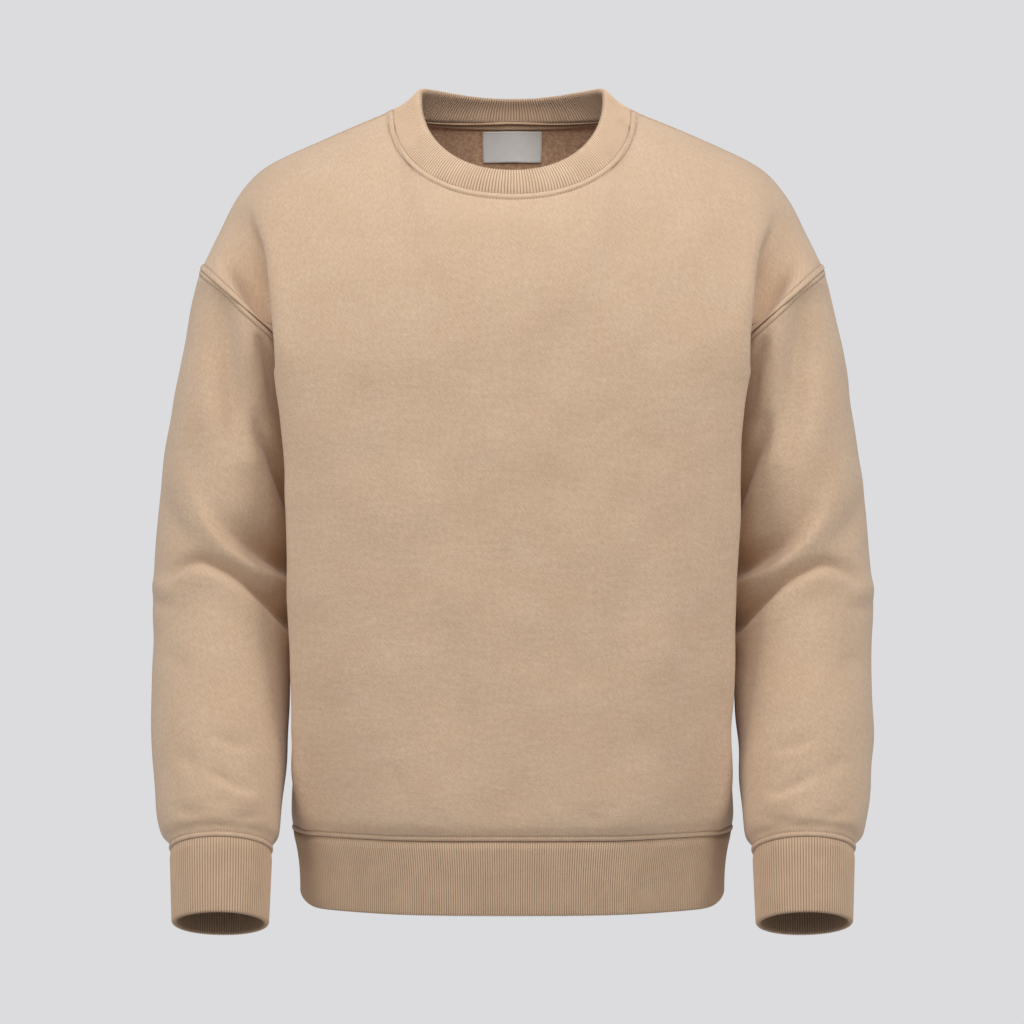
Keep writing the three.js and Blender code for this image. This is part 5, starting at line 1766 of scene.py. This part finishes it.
@dataclass
class Studio:
    """Camera, lamps, even backdrop and a pale floor below the hanging garment."""

    eye: tuple[float, float, float] = (-0.00026, -3.0, -0.3515)
    lens: float = 121.2
    sensor: float = 36.0
    backdrop: str = "#dcdcde"
    ambient: float = 0.33
    floor_z: float = -1.47
    floor_radius: float = 2.4
    lamps: tuple[SoftBox, ...] = (
        SoftBox("top_softbox", (0.0, -1.5, 1.6), (0.0, 0.0, -0.15), 1.3, 26.5),
        SoftBox("left_softbox", (-2.2, -1.5, 0.7), (-0.1, 0.0, -0.3), 1.1, 23.5),
        SoftBox("right_softbox", (2.2, -1.5, 0.7), (0.1, 0.0, -0.3), 1.1, 23.5),
        SoftBox("neck_spot", (0.0, -1.3, 0.5), (0.0, 0.066, -0.04), 0.2, 24.0, cone=0.18),
    )

    def build(self) -> None:
        """Sets up the studio."""
        scene = bpy.context.scene
        camera_data = bpy.data.cameras.new("camera")
        camera_data.lens, camera_data.sensor_width = self.lens, self.sensor
        camera_data.clip_end = 50.0
        camera = bpy.data.objects.new("camera", camera_data)
        camera.location = self.eye
        camera.rotation_euler = (QUARTER, 0.0, 0.0)
        scene.collection.objects.link(camera)
        scene.camera = camera
        scene.view_settings.view_transform = "Standard"
        scene.view_settings.look = "None"
        for lamp in self.lamps:
            data = bpy.data.lights.new(lamp.name, "SPOT" if lamp.cone else "AREA")
            data.energy = lamp.watts
            if lamp.cone:
                data.spot_size, data.spot_blend, data.shadow_soft_size = lamp.cone, 1.0, lamp.size / 2
            else:
                data.shape, data.size = "DISK", lamp.size
            made = bpy.data.objects.new(lamp.name, data)
            made.location = lamp.place
            aim = Vector(lamp.aim) - Vector(lamp.place)
            made.rotation_euler = aim.to_track_quat("-Z", "Y").to_euler()
            scene.collection.objects.link(made)
        world = bpy.data.worlds.new("studio_air")
        scene.world = world
        world.use_nodes = True
        tree = world.node_tree
        tree.nodes.clear()
        seen = add_node(tree, "ShaderNodeBackground", Color=from_hex(self.backdrop), Strength=1.0)
        light = add_node(tree, "ShaderNodeBackground", Color=(1.0, 1.0, 1.0, 1.0), Strength=self.ambient)
        ray = add_node(tree, "ShaderNodeLightPath")
        mixed = add_node(tree, "ShaderNodeMixShader", _0=ray.outputs["Is Camera Ray"], _1=light.outputs[0], _2=seen.outputs[0])
        add_node(tree, "ShaderNodeOutputWorld", Surface=mixed.outputs[0])
        self.floor()

    def floor(self) -> None:
        """Lays the floor."""
        angles = np.linspace(0, 2 * math.pi, 96, endpoint=False)
        ring = [(math.cos(a) * self.floor_radius, math.sin(a) * self.floor_radius, self.floor_z) for a in angles]
        mesh = bpy.data.meshes.new("studio_floor")
        mesh.from_pydata(ring, [], [list(range(len(ring)))])
        mesh.materials.append(PaintedFloor().build())
        floor = bpy.data.objects.new("studio_floor", mesh)
        bpy.context.scene.collection.objects.link(floor)
        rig.stage(floor)


# ---------------------------------------------------------------- putting together


def main() -> None:
    """Builds the studio and every piece in order."""
    logging.basicConfig(level=logging.INFO, format="%(name)s %(message)s")
    Studio().build()
    wardrobe = Wardrobe()
    front, back = BodyPanel(Face.FRONT), BodyPanel(Face.BACK, area=0.339)
    front_paths, back_paths = front.build(wardrobe), back.build(wardrobe)
    sleeve_paths = {side: Sleeve(side).build(wardrobe) for side in (1, -1)}
    RibBand("hem_rib", "hem_band", FORM.hem_point, 492, 60.3, (0.99, 0.0605)).build(wardrobe)
    RibBand("neck_rib", "neckband", FORM.neck_point, 240, 27.0, (0.57, 0.027), fold_at=1.0, wall=3.3, rise=1.0).build(wardrobe)
    for side, word in ((1, "left"), (-1, "right")):
        RibBand("cuff_rib_" + word, "cuff_" + word, FORM.cuff_point, 108, 62.0, (0.25, 0.062), side=side).build(wardrobe)
    tape_paths, label_paths = NeckTrim(back).build(wardrobe)
    StitchRow("stitches_neck", [front_paths[0], back_paths[0]], hole=0.6).build(wardrobe, wardrobe.thread, "fleece")
    StitchRow("stitches_hem", [front_paths[1], back_paths[1]]).build(wardrobe, wardrobe.thread, "fleece")
    StitchRow("stitches_armhole_body", front_paths[2:4] + back_paths[2:4]).build(wardrobe, wardrobe.thread, "fleece")
    StitchRow("stitches_shoulder", back_paths[4:]).build(wardrobe, wardrobe.thread, "fleece")
    for side, word in ((1, "left"), (-1, "right")):
        StitchRow("stitches_sleeve_" + word, sleeve_paths[side]).build(wardrobe, wardrobe.thread, "fleece")
    StitchRow("stitches_tape", tape_paths, width=0.5, height=0.3, hole=0.3).build(wardrobe, wardrobe.thread, "tape")
    StitchRow("stitches_label", label_paths, pitch=1.9, length=1.4, width=0.4, height=0.35, hole=0.4).build(
        wardrobe, wardrobe.label_thread, "label_satin")
    sizes = {"cad": [list(map(float, corner)) for corner in CAD_BOX],
             "visual": [list(map(float, corner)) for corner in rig.bounds()]}
    with open("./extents.json", "w", encoding="utf-8") as out:
        json.dump(sizes, out, indent=1)


if __name__ == "__main__":
    main()
